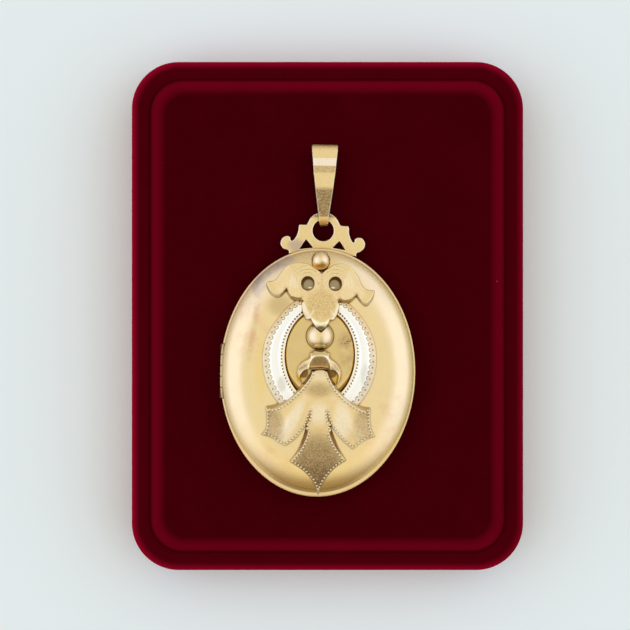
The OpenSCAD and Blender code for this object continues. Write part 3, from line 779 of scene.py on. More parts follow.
def case_shade(paint, x, y, z, out, outer, on_lid, trench):
    """Painted light and shade on the case: shade on the half ball's sides and down its middle, a highlight
    on the lid below the notch ball, and shade in the trench, the nooks by the horns, the corners, round the
    half ball's foot and on the knuckles.
    """
    around = ((x - HALF_BALL[0]) ** 2 + (y - HALF_BALL[1]) ** 2) ** 0.5
    on_ball = (1 - around.step(2.38, 2.4)) * z.step(7.76, 7.8) * outer
    half_ball_shade = around.step(1.3, 2.3) * 0.45 + patch(x, y, (0.55, 5.0), (0.5, 1.7)) * 0.75
    below_notch_ball = patch(x, y, (0.4, 17.6), (1.0, 0.8)) * outer
    keeps_shade = (1 - on_ball) * (1 - below_notch_ball) * (1 - patches(x, y, SLOT_HEADS) * outer * 0.8)
    corner_shade = crevices(paint, 0.6) * 0.8 * keeps_shade
    nook_shadows = patches(x, y, HORN_NOOK_SHADOWS) * on_lid
    in_trench = trench * (0.5 + 0.42 * (1 - y.step(-4, 2)))
    knuckles = x.near(-HINGE_REACH, 0.7, 0.74) * y.near(0, 4.85, 4.95) * z.near(SEAM, 0.62, 0.66)
    # Painted shade on the sides and down the middle of the half ball.
    paint.coat(on_ball * half_ball_shade, (0.5, 0.4, 0.17))
    # Painted highlight on the lid below the notch ball.
    paint.coat(below_notch_ball * 0.8, (1.0, 0.8, 0.42))
    # Painted shade in the trench, in the nooks by the horns and in the corners from ambient occlusion.
    paint.coat(in_trench + nook_shadows * 0.85 + corner_shade * (1 - trench * 0.6), (0.26, 0.125, 0.025))
    # Painted shadow deepest in the nooks between the horn tips and the fan's neck.
    paint.coat(nook_shadows * 0.5, (0.12, 0.05, 0.01))
    # Painted shadow round the foot of the half ball.
    paint.coat(around.band(2.28, 2.34, 2.42, 2.54) * outer * 0.9, (0.13, 0.065, 0.012))
    # Painted shade on the knuckles, darkest where they stand out past the case.
    paint.coat(knuckles * (0.2 + 0.75 * out.step(17.02, 17.25)), (0.09, 0.04, 0.018))


def case_gold(colours):
    """Softly polished old gold with fine scratches, under its stains and tones, and under painted
    reflections, highlights, shadows and shade.
    """
    made, paint = material("polished_gold", metallic=1.0)
    at, x, y, z = paint.place()
    cloud, fine = paint.noise(at, 0.45, 4, 0.6), paint.noise(at, 3.0, 3, 0.6)
    stretched = paint.node("ShaderNodeVectorMath", {"operation": "MULTIPLY"}, {0: at, 1: (9.0, 0.6, 1.0)})
    hair = paint.noise(stretched, 1.0, 2, 0.5).step(0.66, 0.72)
    normal = paint.node("ShaderNodeTexCoord", output="Normal")
    facing = paint.node("ShaderNodeSeparateXYZ", None, {0: normal}, "Z")
    # Outer faces above the lip, those of them that are no higher than the lid, and the distance from the
    # body's middle
    outer = facing.step(-0.1, 0.1) * z.step(4.1, 4.2)
    on_lid = outer * (1 - z.step(7.72, 7.78))
    out = (x ** 2 + (y / OVALNESS) ** 2) ** 0.5
    paint.colour = colours.gold
    grey = weathering(paint, colours, x, y, out, outer, cloud)
    trench = oval_field(paint, x, y, on_lid, cloud, fine)
    wells = crest_eyes(paint, x, y, outer)
    notch_ball_tones(paint, x, y, z)
    case_edges(paint, x, y, z, out, outer)
    case_shade(paint, x, y, z, out, outer, on_lid, trench)
    paint.bumped(fine * 0.6 + cloud * 0.6 + hair * -0.15, 0.00002, 0.5)
    steep = out.step(15.7, 16.3)
    rough = 0.21 + 0.1 * cloud + 0.22 * grey - 0.03 * fine + 0.2 * wells + 0.26 * steep
    paint.finish(base_color=paint.colour, roughness=rough)
    return made


def shaded_places(x, y):
    """Mask of painted shade on the fan's blade, neck and lobes, in the hollow below the bell's arch, on the
    bell's flanks and in two bands on the bail.
    """
    blade = patch(x, y, (0.3, -17.2), (5.8, 8.2), 0.75) * (0.9 - 0.28 * y.step(-17.5, -13.5))
    blade = blade * y.step(-20.6, -19.3)
    arch = 1 - ((((x - 0.3).math("ABSOLUTE") / 1.7) ** 2.6) + ((y - 1.1) / 1.9) ** 2).step(0.6, 0.95)
    bail = y.band(27.0, 27.5, 31.8, 32.8) * 0.8 + y.band(34.9, 35.2, 36.1, 36.4) * 0.4
    return (blade + patches(x, y, FAN_SHADES) + arch * y.step(1.28, 1.4) * 0.5
            + patches(x, y, BELL_SHADES) + bail)


def bell_lines(x, y):
    """Mask of the engraved line on each arm of the bell."""
    left = ((x + 1.8) * 0.506 - (y - 1.5) * 0.862).near(0, 0.06, 0.2) * x.band(-3.4, -3.2, -1.85, -1.7)
    right = ((x - 1.45) * 0.628 + (y - 1.75) * 0.779).near(0, 0.06, 0.2) * x.band(1.85, 2.0, 3.1, 3.3)
    return left + right


def matte_gold(colours):
    """Sandblasted gold with polished edges painted paler as a highlight, dark punched marks, painted
    highlights and shade on the fan, bell and bail, and painted shade on the sides of raised work and in the
    corners.
    """
    made, paint = material("sandblasted_gold", metallic=1.0)
    at, x, y, _ = paint.place()
    grain, cloud = paint.noise(at, 3.6, 3, 0.75), paint.noise(at, 0.5, 3, 0.55)
    polish, pit = paint.attribute("polish"), paint.attribute("pit")
    mottle = 0.65 + 0.7 * grain.step(0.34, 0.66)
    lights = patch(x - y * 0.43, y, (-0.75, -8.5), (1.6, 5.2)) + patches(x, y, FAN_HIGHLIGHTS)
    blotch = patches(x, y, CREST_BLOTCHES) * grain.step(0.35, 0.65)
    bail_foot_reflection = y.band(25.9, 26.1, 27.0, 27.5) * x.near(0.6, 0.9, 1.1)
    paint.colour = colours.matte_gold
    paint.coat(cloud * 0.35, (0.86, 0.61, 0.2))
    # Painted highlights on the fan's lobes, middle and neck.
    paint.coat(lights * 0.6, (1.0, 0.86, 0.54))
    paint.coat(blotch * 0.55, (0.52, 0.3, 0.08))
    paint.coat(patch(x, y, (0.35, 0.5), (1.6, 0.8)) * 0.4, (0.85, 0.5, 0.33))
    # Painted shade on the fan, under the bell's arch, on the bell's flanks and on the bail.
    paint.coat(shaded_places(x, y) * mottle, (0.25, 0.145, 0.05))
    # Painted highlight across the bail.
    paint.coat(y.band(36.2, 36.4, 37.5, 37.7) * 0.7, (0.98, 0.86, 0.6))
    # Painted orange reflection on the bail's foot.
    paint.coat(bail_foot_reflection * 0.6, (0.85, 0.5, 0.13))
    paint.coat(patch(x, y, (-4.2, 22.3), (1.9, 1.5)) * 0.6, (0.45, 0.32, 0.26))
    paint.coat(grain.step(0.45, 0.75) * 0.22 * (1 - polish), (0.42, 0.29, 0.12))
    # Polished edges and beads painted paler, as a painted highlight.
    paint.coat(polish * 0.9, (1.0, 0.92, 0.55))
    paint.coat(patch(x, y, (0.42, 7.4), (1.3, 0.95), 0.5) * 0.8, (0.26, 0.19, 0.09))
    paint.coat(bell_lines(x, y) * 0.6, (0.3, 0.21, 0.08))
    # Painted orange reflection on the tips of the bell's horns.
    paint.coat(patches(x, y, HORN_TIP_REFLECTIONS) * 0.8, (0.82, 0.46, 0.04))
    # Dark punched marks, and painted shade on the sides of the raised work and in the corners from ambient
    # occlusion.
    paint.coat(pit * 0.85 + crevices(paint, 0.6) * 0.75, (0.26, 0.13, 0.035))
    paint.bumped(grain * (1 - polish * 0.9), 0.00003, 0.6)
    paint.finish(base_color=paint.colour, roughness=0.46 - 0.24 * polish + 0.08 * cloud)
    return made


def white_gold(colours):
    """Polished pale gold with a rose tinge in its stippled outer border and dark punched dots, with a
    painted highlight down the middle of its polished band and painted shade in two folds, at its lower ends
    and in its corners.
    """
    made, paint = material("pale_gold", metallic=1.0)
    at, x, y, _ = paint.place()
    cloud, grain = paint.noise(at, 0.6, 3, 0.55), paint.noise(at, 7.0, 2, 0.7)
    polish, pit = paint.attribute("polish"), paint.attribute("pit")
    stipple = 1 - polish.step(0.1, 0.6)
    tint = paint.mix(y.step(-1.0, 7.0) * 0.7 + x.step(2.0, 8.0) * 0.3, (0.72, 0.6, 0.3), (0.76, 0.5, 0.18))
    worn = grain.step(0.3, 0.7) * 0.4 + cloud.step(0.35, 0.65) * 0.25
    # The polished band is painted whiter where its polish is higher, as a painted highlight.
    paint.colour = paint.mix(polish.step(0.7, 1.0), (0.93, 0.82, 0.5), colours.white_gold)
    paint.coat(stipple * (0.3 + worn + 0.15 * y.step(5, 9)), tint)
    # Painted shade in two folds of the band.
    paint.coat(patches(x, y, RING_FOLD_SHADES), (0.6, 0.53, 0.34))
    # Painted shade at the lower ends of the ring.
    paint.coat((1 - y.step(-5.5, -3.0)) * 0.3, (0.86, 0.66, 0.46))
    # Dark punched dots and scallop lines, and painted shade in the corners from ambient occlusion.
    paint.coat(pit * 0.85 + crevices(paint, 0.4) * 0.7, (0.2, 0.1, 0.01))
    paint.bumped(grain * stipple + cloud * 0.4, 0.00003, 0.5)
    paint.finish(base_color=paint.colour, roughness=0.2 + 0.24 * stipple + 0.06 * cloud)
    return made


def velvet(colours):
    """Flocked velvet: a dark pile with a painted sheen on its rolled edges, weaker on the right, a faint
    sheen from the shader, and a few specks of dust.
    """
    made, paint = material("velvet_pile", metallic=0.0, sheen_weight=0.02, sheen_roughness=0.3,
                           sheen_tint=(*colours.velvet_sheen, 1), specular_ior_level=0.0)
    at, x, _, _ = paint.place()
    pile, nap = paint.noise(at, 6.0, 3, 0.7), paint.noise(at, 0.12, 3, 0.5)
    dust = paint.noise(at, 1.6, 1, 0.5).step(0.83, 0.86)
    deep, pale = (tuple(share * part for part in colours.velvet) for share in (0.75, 1.4))
    paint.colour = paint.mix(nap * 0.5 + pile * 0.4, deep, pale)
    # Painted sheen on the rolled edges, whose slope is kept in the polish value, weaker towards the right.
    paint.coat(paint.attribute("polish") * (1.08 - 0.4 * x.step(30, 35)), colours.velvet_rim_sheen)
    paint.coat(dust * 0.35, (0.35, 0.2, 0.2))
    paint.bumped(pile, 0.0002, 0.5)
    paint.finish(base_color=paint.colour, roughness=0.9 + 0.1 * pile)
    return made


FINISHES = {"case_gold": ("polished_gold", case_gold), "matte_gold": ("sandblasted_gold", matte_gold),
            "white_gold": ("pale_gold", white_gold), "velvet": ("velvet_pile", velvet)}


def finish_for(context, slot):
    """The material that dresses a slot, made at its first use."""
    name, make = FINISHES[slot]
    return bpy.data.materials.get(name) or make(context.scene.locket_colours)


def rounded_oblong(half_w, half_l, radius):
    """Points round an oblong with round corners, counter-clockwise from the right side."""
    corner_steps, side_steps = 20, 12
    made = []
    middles = ((half_w - radius, half_l - radius), (radius - half_w, half_l - radius),
               (radius - half_w, radius - half_l), (half_w - radius, radius - half_l))
    for quarter, (x, y) in enumerate(middles):
        arc = [math.pi / 2 * (quarter + i / corner_steps) for i in range(corner_steps + 1)]
        made.extend(Vector((x + radius * math.cos(t), y + radius * math.sin(t))) for t in arc)
        nx, ny = middles[(quarter + 1) % 4]
        turn = math.pi / 2 * (quarter + 1)
        end = Vector((nx + radius * math.cos(turn), ny + radius * math.sin(turn)))
        start = made[-1].copy()
        made.extend(start.lerp(end, i / side_steps) for i in range(1, side_steps))
    return made


class LOCKET_OT_pad(bpy.types.Operator):
    """Velvet pad with a rolled outer edge, a sunken border and a raised field"""

    bl_idname = "locket.pad"
    bl_label = "Velvet pad"

    def execute(self, context):
        form = Form(context.scene.locket_sizes)
        half_w, half_l = PAD_HIGH.x, form.pad_length / 2
        roll, inset = form.pad_roll, form.field_inset
        edge_top = PAD_HIGH.z - form.field_rise
        field_roll = 2.7
        # Rows of (distance in from the outer edge, height, strength of the painted sheen on the velvet).
        profile = [(0.35, 0, 1), (0.1, 0.1, 1), (0, 0.4, 1), (0, 4, 1), (0, 8, 1), (0, edge_top - roll, 1)]
        quarter = [math.pi / 2 * i / 10 for i in range(11)]
        profile += [(roll - roll * math.cos(t), edge_top - roll + roll * math.sin(t),
                     max(0.05, math.cos(t) ** 1.2)) for t in quarter[1:]]
        profile += [(roll + 0.4, edge_top, 0.05), (inset - 0.5, edge_top - 0.02, 0.05),
                    (inset - 0.12, edge_top - 0.1, 0), (inset, edge_top - 0.14, 0.15)]
        profile += [(inset + field_roll - field_roll * math.cos(t),
                     edge_top - 0.1 + (form.field_rise + 0.1) * math.sin(t), 0.3 * math.sin(2 * t))
                    for t in quarter[1:]]
        profile += [(inset + field_roll + step, PAD_HIGH.z, 0) for step in (1, 3, 6, 10, 15, 20)]
        shape = Shape()
        loops = []
        for inward_by, z, slope in profile:
            radius = max(1.5, form.pad_corner - 0.75 * inward_by)
            points = rounded_oblong(half_w - inward_by, half_l - inward_by, radius)
            loops.append(shape.put([(p.x, p.y, z) for p in points], float(slope)))
        shape.skin(loops)
        shape.faces.append(tuple(reversed(loops[0])))
        shape.faces.append(tuple(loops[-1]))
        pad = piece(context, shape, "display_pad", "pad_and_back", "velvet", "velvet_pad",
                    place=lambda px, py, pz: Vector((px, py, pz)) * MM)
        return {"FINISHED"}


def moat(inside):
    """Height of the groove, rim and line round the oval field, at a distance inside the ring's edge."""
    return table(((0, -0.02), (0.04, -0.15), (0.09, -0.18), (0.14, -0.12), (0.18, 0.02), (0.24, 0.08),
                  (0.3, 0.04), (0.36, -0.02), (0.45, -0.01), (0.7, 0)), inside)


def half_case(form, dome, base, side):
    """One half of the case. Side is 1 for the lid, with the oval field, and -1 for the back."""
    steps = 256
    shape = Shape()
    loops = []
    shoulder_start = form.half_w - form.shoulder_width

    def add(points, heights):
        """Adds a loop of corners at their heights above the rim."""
        loops.append(shape.put([(p[0], p[1], base + side * h) for p, h in zip(points, heights)]))

    def body(q, drawn_in=0.0):
        """The body's oval at a distance from its middle, drawn in at the foot."""
        reach = [q - drawn_in * ease(-0.3, -0.85, math.sin(2 * math.pi * i / steps)) for i in range(steps)]
        return [(r * x, r * form.stretch * y) for r, (x, y) in zip(reach, oval((0, 0, 1, 1), steps))]

    def over(points, extra=0.0):
        """Adds a loop on the outer surface."""
        add(points, [form.dome(form.spread(*p), dome) + extra for p in points])

    if side > 0:
        cx, cy, w, l = RING_INNER
        for share in (0.15, 0.35, 0.55, 0.72, 0.84):
            over(oval((cx, cy, w * share, l * share), steps))
        for inside in (0.7, 0.45, 0.36, 0.3, 0.24, 0.18, 0.14, 0.09, 0.04, 0):
            over(oval(RING_INNER, steps, -inside), moat(inside))
        edges = [(Vector(a), Vector(b)) for a, b in zip(oval(RING_INNER, steps), body(shoulder_start))]
        for share in [i / 12 for i in range(1, 12)]:
            over([a.lerp(b, share) for a, b in edges])
        top = (cx, cy, form.lid(cx, cy))
    else:
        for share in (0.1, 0.25, 0.4, 0.55, 0.7, 0.85):
            over(body(shoulder_start * share))
        top = (0, 0, base + side * form.dome(0, dome))
    outer_top = loops[0]
    # The shoulder ends in a neck, with a round lip below it that is wider at the foot of the oval.
    neck, lip_round, wider = form.half_w - 0.38, 0.2, 0.34
    for share in [math.sin(math.radians(6 * i)) for i in range(15)]:
        over(body(shoulder_start + (neck - shoulder_start) * share, wider * share))
    over(body(neck, wider))
    add(body(neck + 0.04, wider), [0.7] * steps)
    add(body(neck + 0.1, 0.3), [0.58] * steps)
    for turn in [math.radians(100 - 15 * i) for i in range(8)]:
        add(body(form.half_w - lip_round + lip_round * math.cos(turn), wider / 2 * (1 - math.cos(turn))),
            [0.36 + lip_round * math.sin(turn)] * steps)
    add(body(form.half_w), [0.07] * steps)
    add(body(form.half_w - 0.06), [0] * steps)
    inner_reach, inner_rise = form.half_w - form.sheet, form.shoulder_rise - form.sheet
    inner_shoulder = form.shoulder_width - form.sheet

    def inside_height(q):
        """Height of the hollow inside at a distance from the middle."""
        turned = max(0, (q - inner_reach + inner_shoulder) / inner_shoulder)
        return inner_rise * math.sqrt(max(0, 1 - turned ** 2)) + dome * (1 - (q / inner_reach) ** 2)

    add(body(inner_reach + 0.06), [0] * steps)
    for turn in [math.radians(10 * i) for i in range(1, 10)]:
        q = inner_reach - inner_shoulder + inner_shoulder * math.cos(turn)
        add(body(q), [inside_height(q)] * steps)
    for share in (0.7, 0.4, 0.15):
        q = (inner_reach - inner_shoulder) * share
        add(body(q), [inside_height(q)] * steps)
    shape.skin(loops)
    shape.cap(outer_top, top)
    shape.cap(loops[-1], (0, 0, base + side * inside_height(0)))
    return shape


def barrel(form, place, radius, longer, bore=None, flat=None):
    """A round bar, or with a bore a tube, over one knuckle's place on the hinge axis."""
    shape = Shape()
    steps = 40
    pitch = form.hinge_length / KNUCKLES
    low = -form.hinge_length / 2 + place * pitch - longer
    high = low + pitch + 2 * longer
    edge = 0.05 if bore else 0.0

    def ring(y, reach):
        """A loop round the hinge axis, cut off flat towards the outside if the bar has a flat side."""
        circle = oval((form.hinge_x, SEAM, reach, reach), steps)
        return shape.put([(max(x, flat) if flat else x, y, z) for x, z in circle])

    loops = [ring(low, radius - edge), ring(low + edge, radius), ring(high - edge, radius),
             ring(high, radius - edge)] if edge else [ring(low, radius), ring(high, radius)]
    if bore:
        loops += [ring(high, bore), ring(low, bore)]
        shape.skin(loops, ring=True)
    else:
        shape.skin(loops)
        shape.faces.append(tuple(loops[0]))
        shape.faces.append(tuple(reversed(loops[-1])))
    return shape


def cased(context, name, node, body, side, own, others):
    """One half of the case with its own knuckles and room for the other half's."""
    form = Form(context.scene.locket_sizes)
    dome, base = (form.lid_dome, form.lid_base) if side > 0 else (form.back_dome, form.back_base)
    obj = piece(context, half_case(form, dome, base, side), name, body, "case_gold", node)
    carved(obj, [barrel(form, place, form.knuckle_radius + 0.14, GAP) for place in others])
    work = bmesh.new()
    work.from_mesh(obj.data)
    bmesh.ops.recalc_face_normals(work, faces=work.faces)
    for place in own:
        knuckle = barrel(form, place, form.knuckle_radius, -GAP, 0.27, 0.02 - form.half_w)
        part = bmesh.new()
        corners = [part.verts.new(on_pad(*corner)) for corner in knuckle.corners]
        for face in knuckle.faces:
            part.faces.new([corners[i] for i in face])
        bmesh.ops.recalc_face_normals(part, faces=part.faces)
        mesh = bpy.data.meshes.new("knuckle")
        part.to_mesh(mesh)
        part.free()
        work.from_mesh(mesh)
    work.to_mesh(obj.data)
    work.free()
    finished(context, obj, body, "case_gold", sharp=35)


class LOCKET_OT_case(bpy.types.Operator):
    """Two domed halves of the case with their hinge knuckles, and the pin's finish"""

    bl_idname = "locket.case"
    bl_label = "Case"

    def execute(self, context):
        cased(context, "back_case", "back_shell", "pad_and_back", -1, (0, 2, 4), (1, 3))
        cased(context, "front_case", "front_shell", "lid", 1, (1, 3), (0, 2, 4))
        pin = frame["nodes"]["hinge_pin"]
        pin.data.materials.clear()
        pin.data.materials.append(finish_for(context, "case_gold"))
        return {"FINISHED"}


class LOCKET_OT_cresting(bpy.types.Operator):
    """Flat pierced cresting with polished edges"""

    bl_idname = "locket.cresting"
    bl_label = "Cresting"

    def execute(self, context):
        form = Form(context.scene.locket_sizes)
        low, high = PLATE_LOW.z - PAD_HIGH.z, PLATE_HIGH.z - PAD_HIGH.z
        middle = (low + high) / 2
        step = 0.14
        rim = outline(CRESTING_EDGE, step)
        count = 60
        reach = form.half_w - 0.02
        first, last = (math.atan2(p.y / form.stretch, p.x) for p in (rim[-1], rim[0]))
        along_body = [first + (last - first) * i / count for i in range(1, count)]
        rim += [Vector((reach * math.cos(t), reach * form.stretch * math.sin(t))) for t in along_body]
        rim = [p for i, p in enumerate(rim) if (p - rim[i - 1]).length > 0.02]
        rim.reverse()
        eye = [Vector(p) for p in reversed(oval((*EYE, 1.8, 1.8), 72))]
        edges = [rim, eye] + [outline(piercing, step) for piercing in PIERCINGS]
        for i, edge in enumerate(edges):
            area = sum(a.x * b.y - b.x * a.y for a, b in zip(edge, edge[1:] + edge[:1]))
            if (area > 0) != (i == 0):
                edge.reverse()
        shape = Shape()
        for top in (high, low):
            side = Shape()
            relief(side, edges, lambda x, y: top, lambda x, y: middle, lambda point, normal: 0.11, 0.5,
                   soft=0.06, closed=False, wall_polish=0.8, wall_shade=0.0)
            offset = len(shape.corners)
            shape.put(side.corners, side.polish, side.pit)
            shape.faces.extend(tuple(i + offset for i in face) for face in side.faces)
        piece(context, welded(shape), "cresting", "pad_and_back", "matte_gold", "scroll_plate")
        return {"FINISHED"}


def welded(shape):
    """The same shape with corners that share a place made one."""
    made = Shape()
    known, numbers = {}, []
    for corner, polish, pit in zip(shape.corners, shape.polish, shape.pit):
        key = tuple(round(value, 5) for value in corner)
        if key not in known:
            (known[key],) = made.put([corner], polish, pit)
        numbers.append(known[key])
    made.faces = [tuple(numbers[i] for i in face) for face in shape.faces]
    return made


class LOCKET_OT_bail(bpy.types.Operator):
    """Folded tapering strip that hangs in the cresting's eye"""

    bl_idname = "locket.bail"
    bl_label = "Bail"

    def execute(self, context):
        form = Form(context.scene.locket_sizes)
        thick = form.bail_strip
        loop_r, inner_r, nose = 1.9, 1.06, 1.3
        span = form.bail_length - nose
        near, far = inner_r + thick / 2, loop_r - thick / 2
        lean = math.asin((far - near) / span)
        dip = math.asin((BAIL_PLACE.z - PAD_HIGH.z - loop_r - GAP) / span)
        path = []
        for middle, reach, stretch, first, last in (
                (0.0, near, 1.0, math.pi / 2 + lean, 1.5 * math.pi - lean),
                (span, far, (nose - thick / 2) / far, -math.pi / 2 - lean, math.pi / 2 + lean)):
            turns = [first + (last - first) * i / 28 for i in range(29)]
            path += [(middle + reach * stretch * math.cos(turn), reach * math.sin(turn)) for turn in turns]
        path = evenly([Vector(p) for p in path], 0.2)
        shape = Shape()
        loops = []
        bevel = 0.13
        for point, normal in zip(path, inward(path)):
            half = table(BAIL_TAPER, point.x)
            # The strip's section, as its place across, its share of the thickness and its polish
            section = (
                (-half + bevel, 0.5, 0.5), (-half + 2 * bevel, 0.5, 0), (half - 2 * bevel, 0.5, 0),
                (half - bevel, 0.5, 0.5), (half - bevel / 3, 0.32, 1), (half, 0.0, 1),
                (half - bevel / 3, -0.32, 1), (half - bevel, -0.5, 0.5), (bevel - half, -0.5, 0.5),
                (bevel / 3 - half, -0.32, 1), (-half, 0.0, 1), (bevel / 3 - half, 0.32, 1))
            spots = [(across, point - normal * out * thick) for across, out, _ in section]
            loop = [(across, spot.x, spot.y) for across, spot in spots]
            loops.append(shape.put(loop, [polish for _, _, polish in section]))
        shape.skin(loops, ring=True)
        hang = Matrix.Rotation(TURN, 3, "Z") @ Matrix.Rotation(-dip, 3, "X")
        piece(context, shape, "bail_strip", "bail", "matte_gold", "bail",
              place=lambda x, y, z: (BAIL_PLACE + hang @ Vector((x, y, z))) * MM)
        return {"FINISHED"}


def ring_mark(along, across, width, whole):
    """Depth, darkness and polish of the white ring's borders, at a distance along it and a share across it.
    The darkness is that of its punched dots and scallop lines.
    """
    dot_pitch, scallop_pitch = whole / round(whole / 0.65), whole / round(whole / 0.92)
    inner_row, border_start = 0.14, 0.72
    shift = (along / dot_pitch) % 1 - 0.5
    dot = math.hypot(shift * dot_pitch, (across - inner_row) * width)
    depth = 0.08 * ease(0.2, 0.1, dot)
    pit = ease(0.2, 0.12, dot)
    shift = (along / scallop_pitch) % 1 - 0.5
    reach = math.hypot(shift * scallop_pitch, (across - border_start - 0.03) * width)
    ring = abs(reach - 0.3)
    if across < border_start + 0.06 / max(width, 0.1) and reach > 0.2:
        depth = max(depth, 0.05 * ease(0.1, 0.03, ring))
        pit = max(pit, 0.9 * ease(0.1, 0.04, ring))
    dot = math.hypot(shift * scallop_pitch, (across - border_start - 0.12) * width)
    depth = max(depth, 0.06 * ease(0.16, 0.07, dot))
    pit = max(pit, ease(0.16, 0.08, dot))
    # The band's polish is highest in its middle, where the finish paints it whitest as a highlight.
    middle = ease(0.16, 0.34, across) * ease(0.68, 0.5, across)
    polish = (1 - ease(border_start - 0.02, border_start + 0.03, across)) * (0.7 + 0.3 * middle)
    return depth, pit, polish


class LOCKET_OT_ring(bpy.types.Operator):
    """White oval ring with a polished convex band, a scalloped border and a row of punched dots"""

    bl_idname = "locket.ring"
    bl_label = "White ring"

    def execute(self, context):
        form = Form(context.scene.locket_sizes)
        steps, columns = 900, 44
        profile = ((0, 0.42), (0.03, 0.55), (0.14, 0.62), (0.18, 0.74), (0.3, 0.93), (0.42, 1),
                   (0.58, 0.97), (0.71, 0.82), (0.75, 0.72), (0.86, 0.62), (0.96, 0.5), (1, 0.2))
        inner = [Vector(p) for p in oval(RING_INNER, steps)]
        outer = []
        for i, point in enumerate(oval(RING_OUTER, steps)):
            turn = 2 * math.pi * i / steps
            drawn_in = sum(share * math.exp(-((turn - at) / 0.35) ** 2) for at, share in RING_SHOULDERS)
            outer.append(Vector(point).lerp(Vector(RING_OUTER[:2]), drawn_in))
        shape = Shape()
        lengths = [0.0]
        middles = [a.lerp(b, 0.5) for a, b in zip(inner, outer)]
        for a, b in zip(middles, middles[1:]):
            lengths.append(lengths[-1] + (b - a).length)
        whole = lengths[-1] + (middles[0] - middles[-1]).length
        loops = []
        for a, b, along in zip(inner, outer, lengths):
            width = (b - a).length
            loop, polish, pits = [], [], []
            for column in range(columns + 1):
                across = column / columns
                p = a.lerp(b, across)
                depth, pit, shine = ring_mark(along, across, width, whole)
                rise = form.ring_rise * table(profile, across) - depth
                loop.append((p.x, p.y, form.lid(p.x, p.y) + rise))
                polish.append(shine)
                pits.append(pit)
            for across in (1, 0.5, 0):
                p = a.lerp(b, across)
                loop.append((p.x, p.y, form.lid(p.x, p.y) + GAP / 2))
                polish.append(0.5)
                pits.append(0.0)
            loops.append(shape.put(loop, polish, pits))
        shape.skin(loops, ring=True)
        piece(context, shape, "oval_ring", "lid", "white_gold", "white_ring", sharp=60)
        return {"FINISHED"}


def crest_height(form):
    """Height of the crest's top."""
    def height(x, y):
        rise = form.crest_rise * (0.86 + 0.14 * ease(12.6, 10.5, y) + 0.1 * ease(9.8, 8.6, y))
        rise -= 0.14 * ease(5.2, 7.5, abs(x - 0.4))
        crease = math.exp(-((x - CREST_MIDDLE) / 0.4) ** 2) * ease(13.2, 16.5, y)
        rise -= 0.2 * crease
        for start, end in SHIELD_CREASES:
            rise -= 0.16 * math.exp(-(distance_to(x, y, start, end) / 0.2) ** 2)
        return form.lid(x, y, 13.6) + max(0.3, rise - shield_drop(x, y))
    return height


def distance_to(x, y, start, end):
    """Distance from a place to a straight line between two points."""
    start, end, here = Vector(start), Vector(end), Vector((x, y))
    along = end - start
    share = min(1, max(0, (here - start).dot(along) / along.length_squared))
    return (here - start - share * along).length


def shield_drop(x, y):
    """How far the shield's facets fall below its face at a place."""
    drop = 0.0
    for start, end, slope in SHIELD_FACETS:
        start, end = Vector(start), Vector(end)
        along = (end - start).normalized()
        drop += slope * max(0, (Vector((x, y)) - start).dot(Vector((along.y, -along.x))))
    return drop


class LOCKET_OT_crest(bpy.types.Operator):
    """Winged crest with two pierced eyes, engraved curls and a bevelled shield"""

    bl_idname = "locket.crest"
    bl_label = "Winged crest"

    def execute(self, context):
        form = Form(context.scene.locket_sizes)
        edges = [outline(CREST_EDGE, 0.12)]
        edges += [[Vector(p) for p in reversed(oval((*eye, 1.12, 1.12), 64))] for eye in CREST_EYES]
        marks = []
        for cx, cy in CREST_EYES:
            for radius in (1.75, 2.35, 2.95):
                count = round(2 * math.pi * radius / 0.1)
                for side, change, pit in ((-0.06, 0, 0), (0, -0.04, 0.15), (0.06, 0, 0)):
                    circle = oval((cx, cy, radius, radius), count, side)
                    marks += [(x, y, change, 0.3, pit) for x, y in circle
                              if y > 14.8 and abs(x - CREST_MIDDLE) > 0.6]

        def wall(point, normal):
            """Width of the sides: narrow round the eyes, and sloped at the wings' lower edges."""
            if min((point - Vector(eye)).length for eye in CREST_EYES) < 1.2:
                return 0.06 + 0.2 * max(0, -normal.y)
            return 0.1 + 0.6 * max(0, normal.y) * ease(10.2, 11.4, point.y)

        def shine(x, y):
            """Polish of the shield's facets and of its two bright lines."""
            if y > 12.4:
                return 0.0
            glint = 0.6 * max(math.exp(-(distance_to(x, y, *line) / 0.13) ** 2) for line in SHIELD_LINES)
            drop = shield_drop(x, y)
            if drop <= 0.03:
                return glint
            return max(glint, 0.35 + 0.65 * min(1, 20 * drop) * ease(2.1, 1.5, abs(x - 0.43)))

        shape = Shape()
        relief(shape, edges, crest_height(form), lambda x, y: form.lid(x, y, 16.2) + GAP / 2, wall, 0.17,
               marks, wall_polish=0.1, wall_shade=0.5, edge_polish=0.25, steps=(0.4, 0.85), shine=shine)
        piece(context, shape, "winged_crest", "lid", "matte_gold", "crest", sharp=32)
        return {"FINISHED"}


def ball(shape, middle, radius, rise, lowest):
    """A round ball or a flattened dome, from its lowest angle up."""
    steps = 64
    loops = []
    for i in range(24):
        turn = lowest + (math.pi / 2 - lowest) * i / 24
        reach, lift = radius * math.cos(turn), rise * math.sin(turn)
        circle = oval((middle[0], middle[1], reach, reach), steps)
        loops.append(shape.put([(x, y, middle[2] + lift) for x, y in circle]))
    shape.skin(loops)
    shape.cap(loops[-1], (middle[0], middle[1], middle[2] + rise))
    shape.faces.append(tuple(reversed(loops[0])))


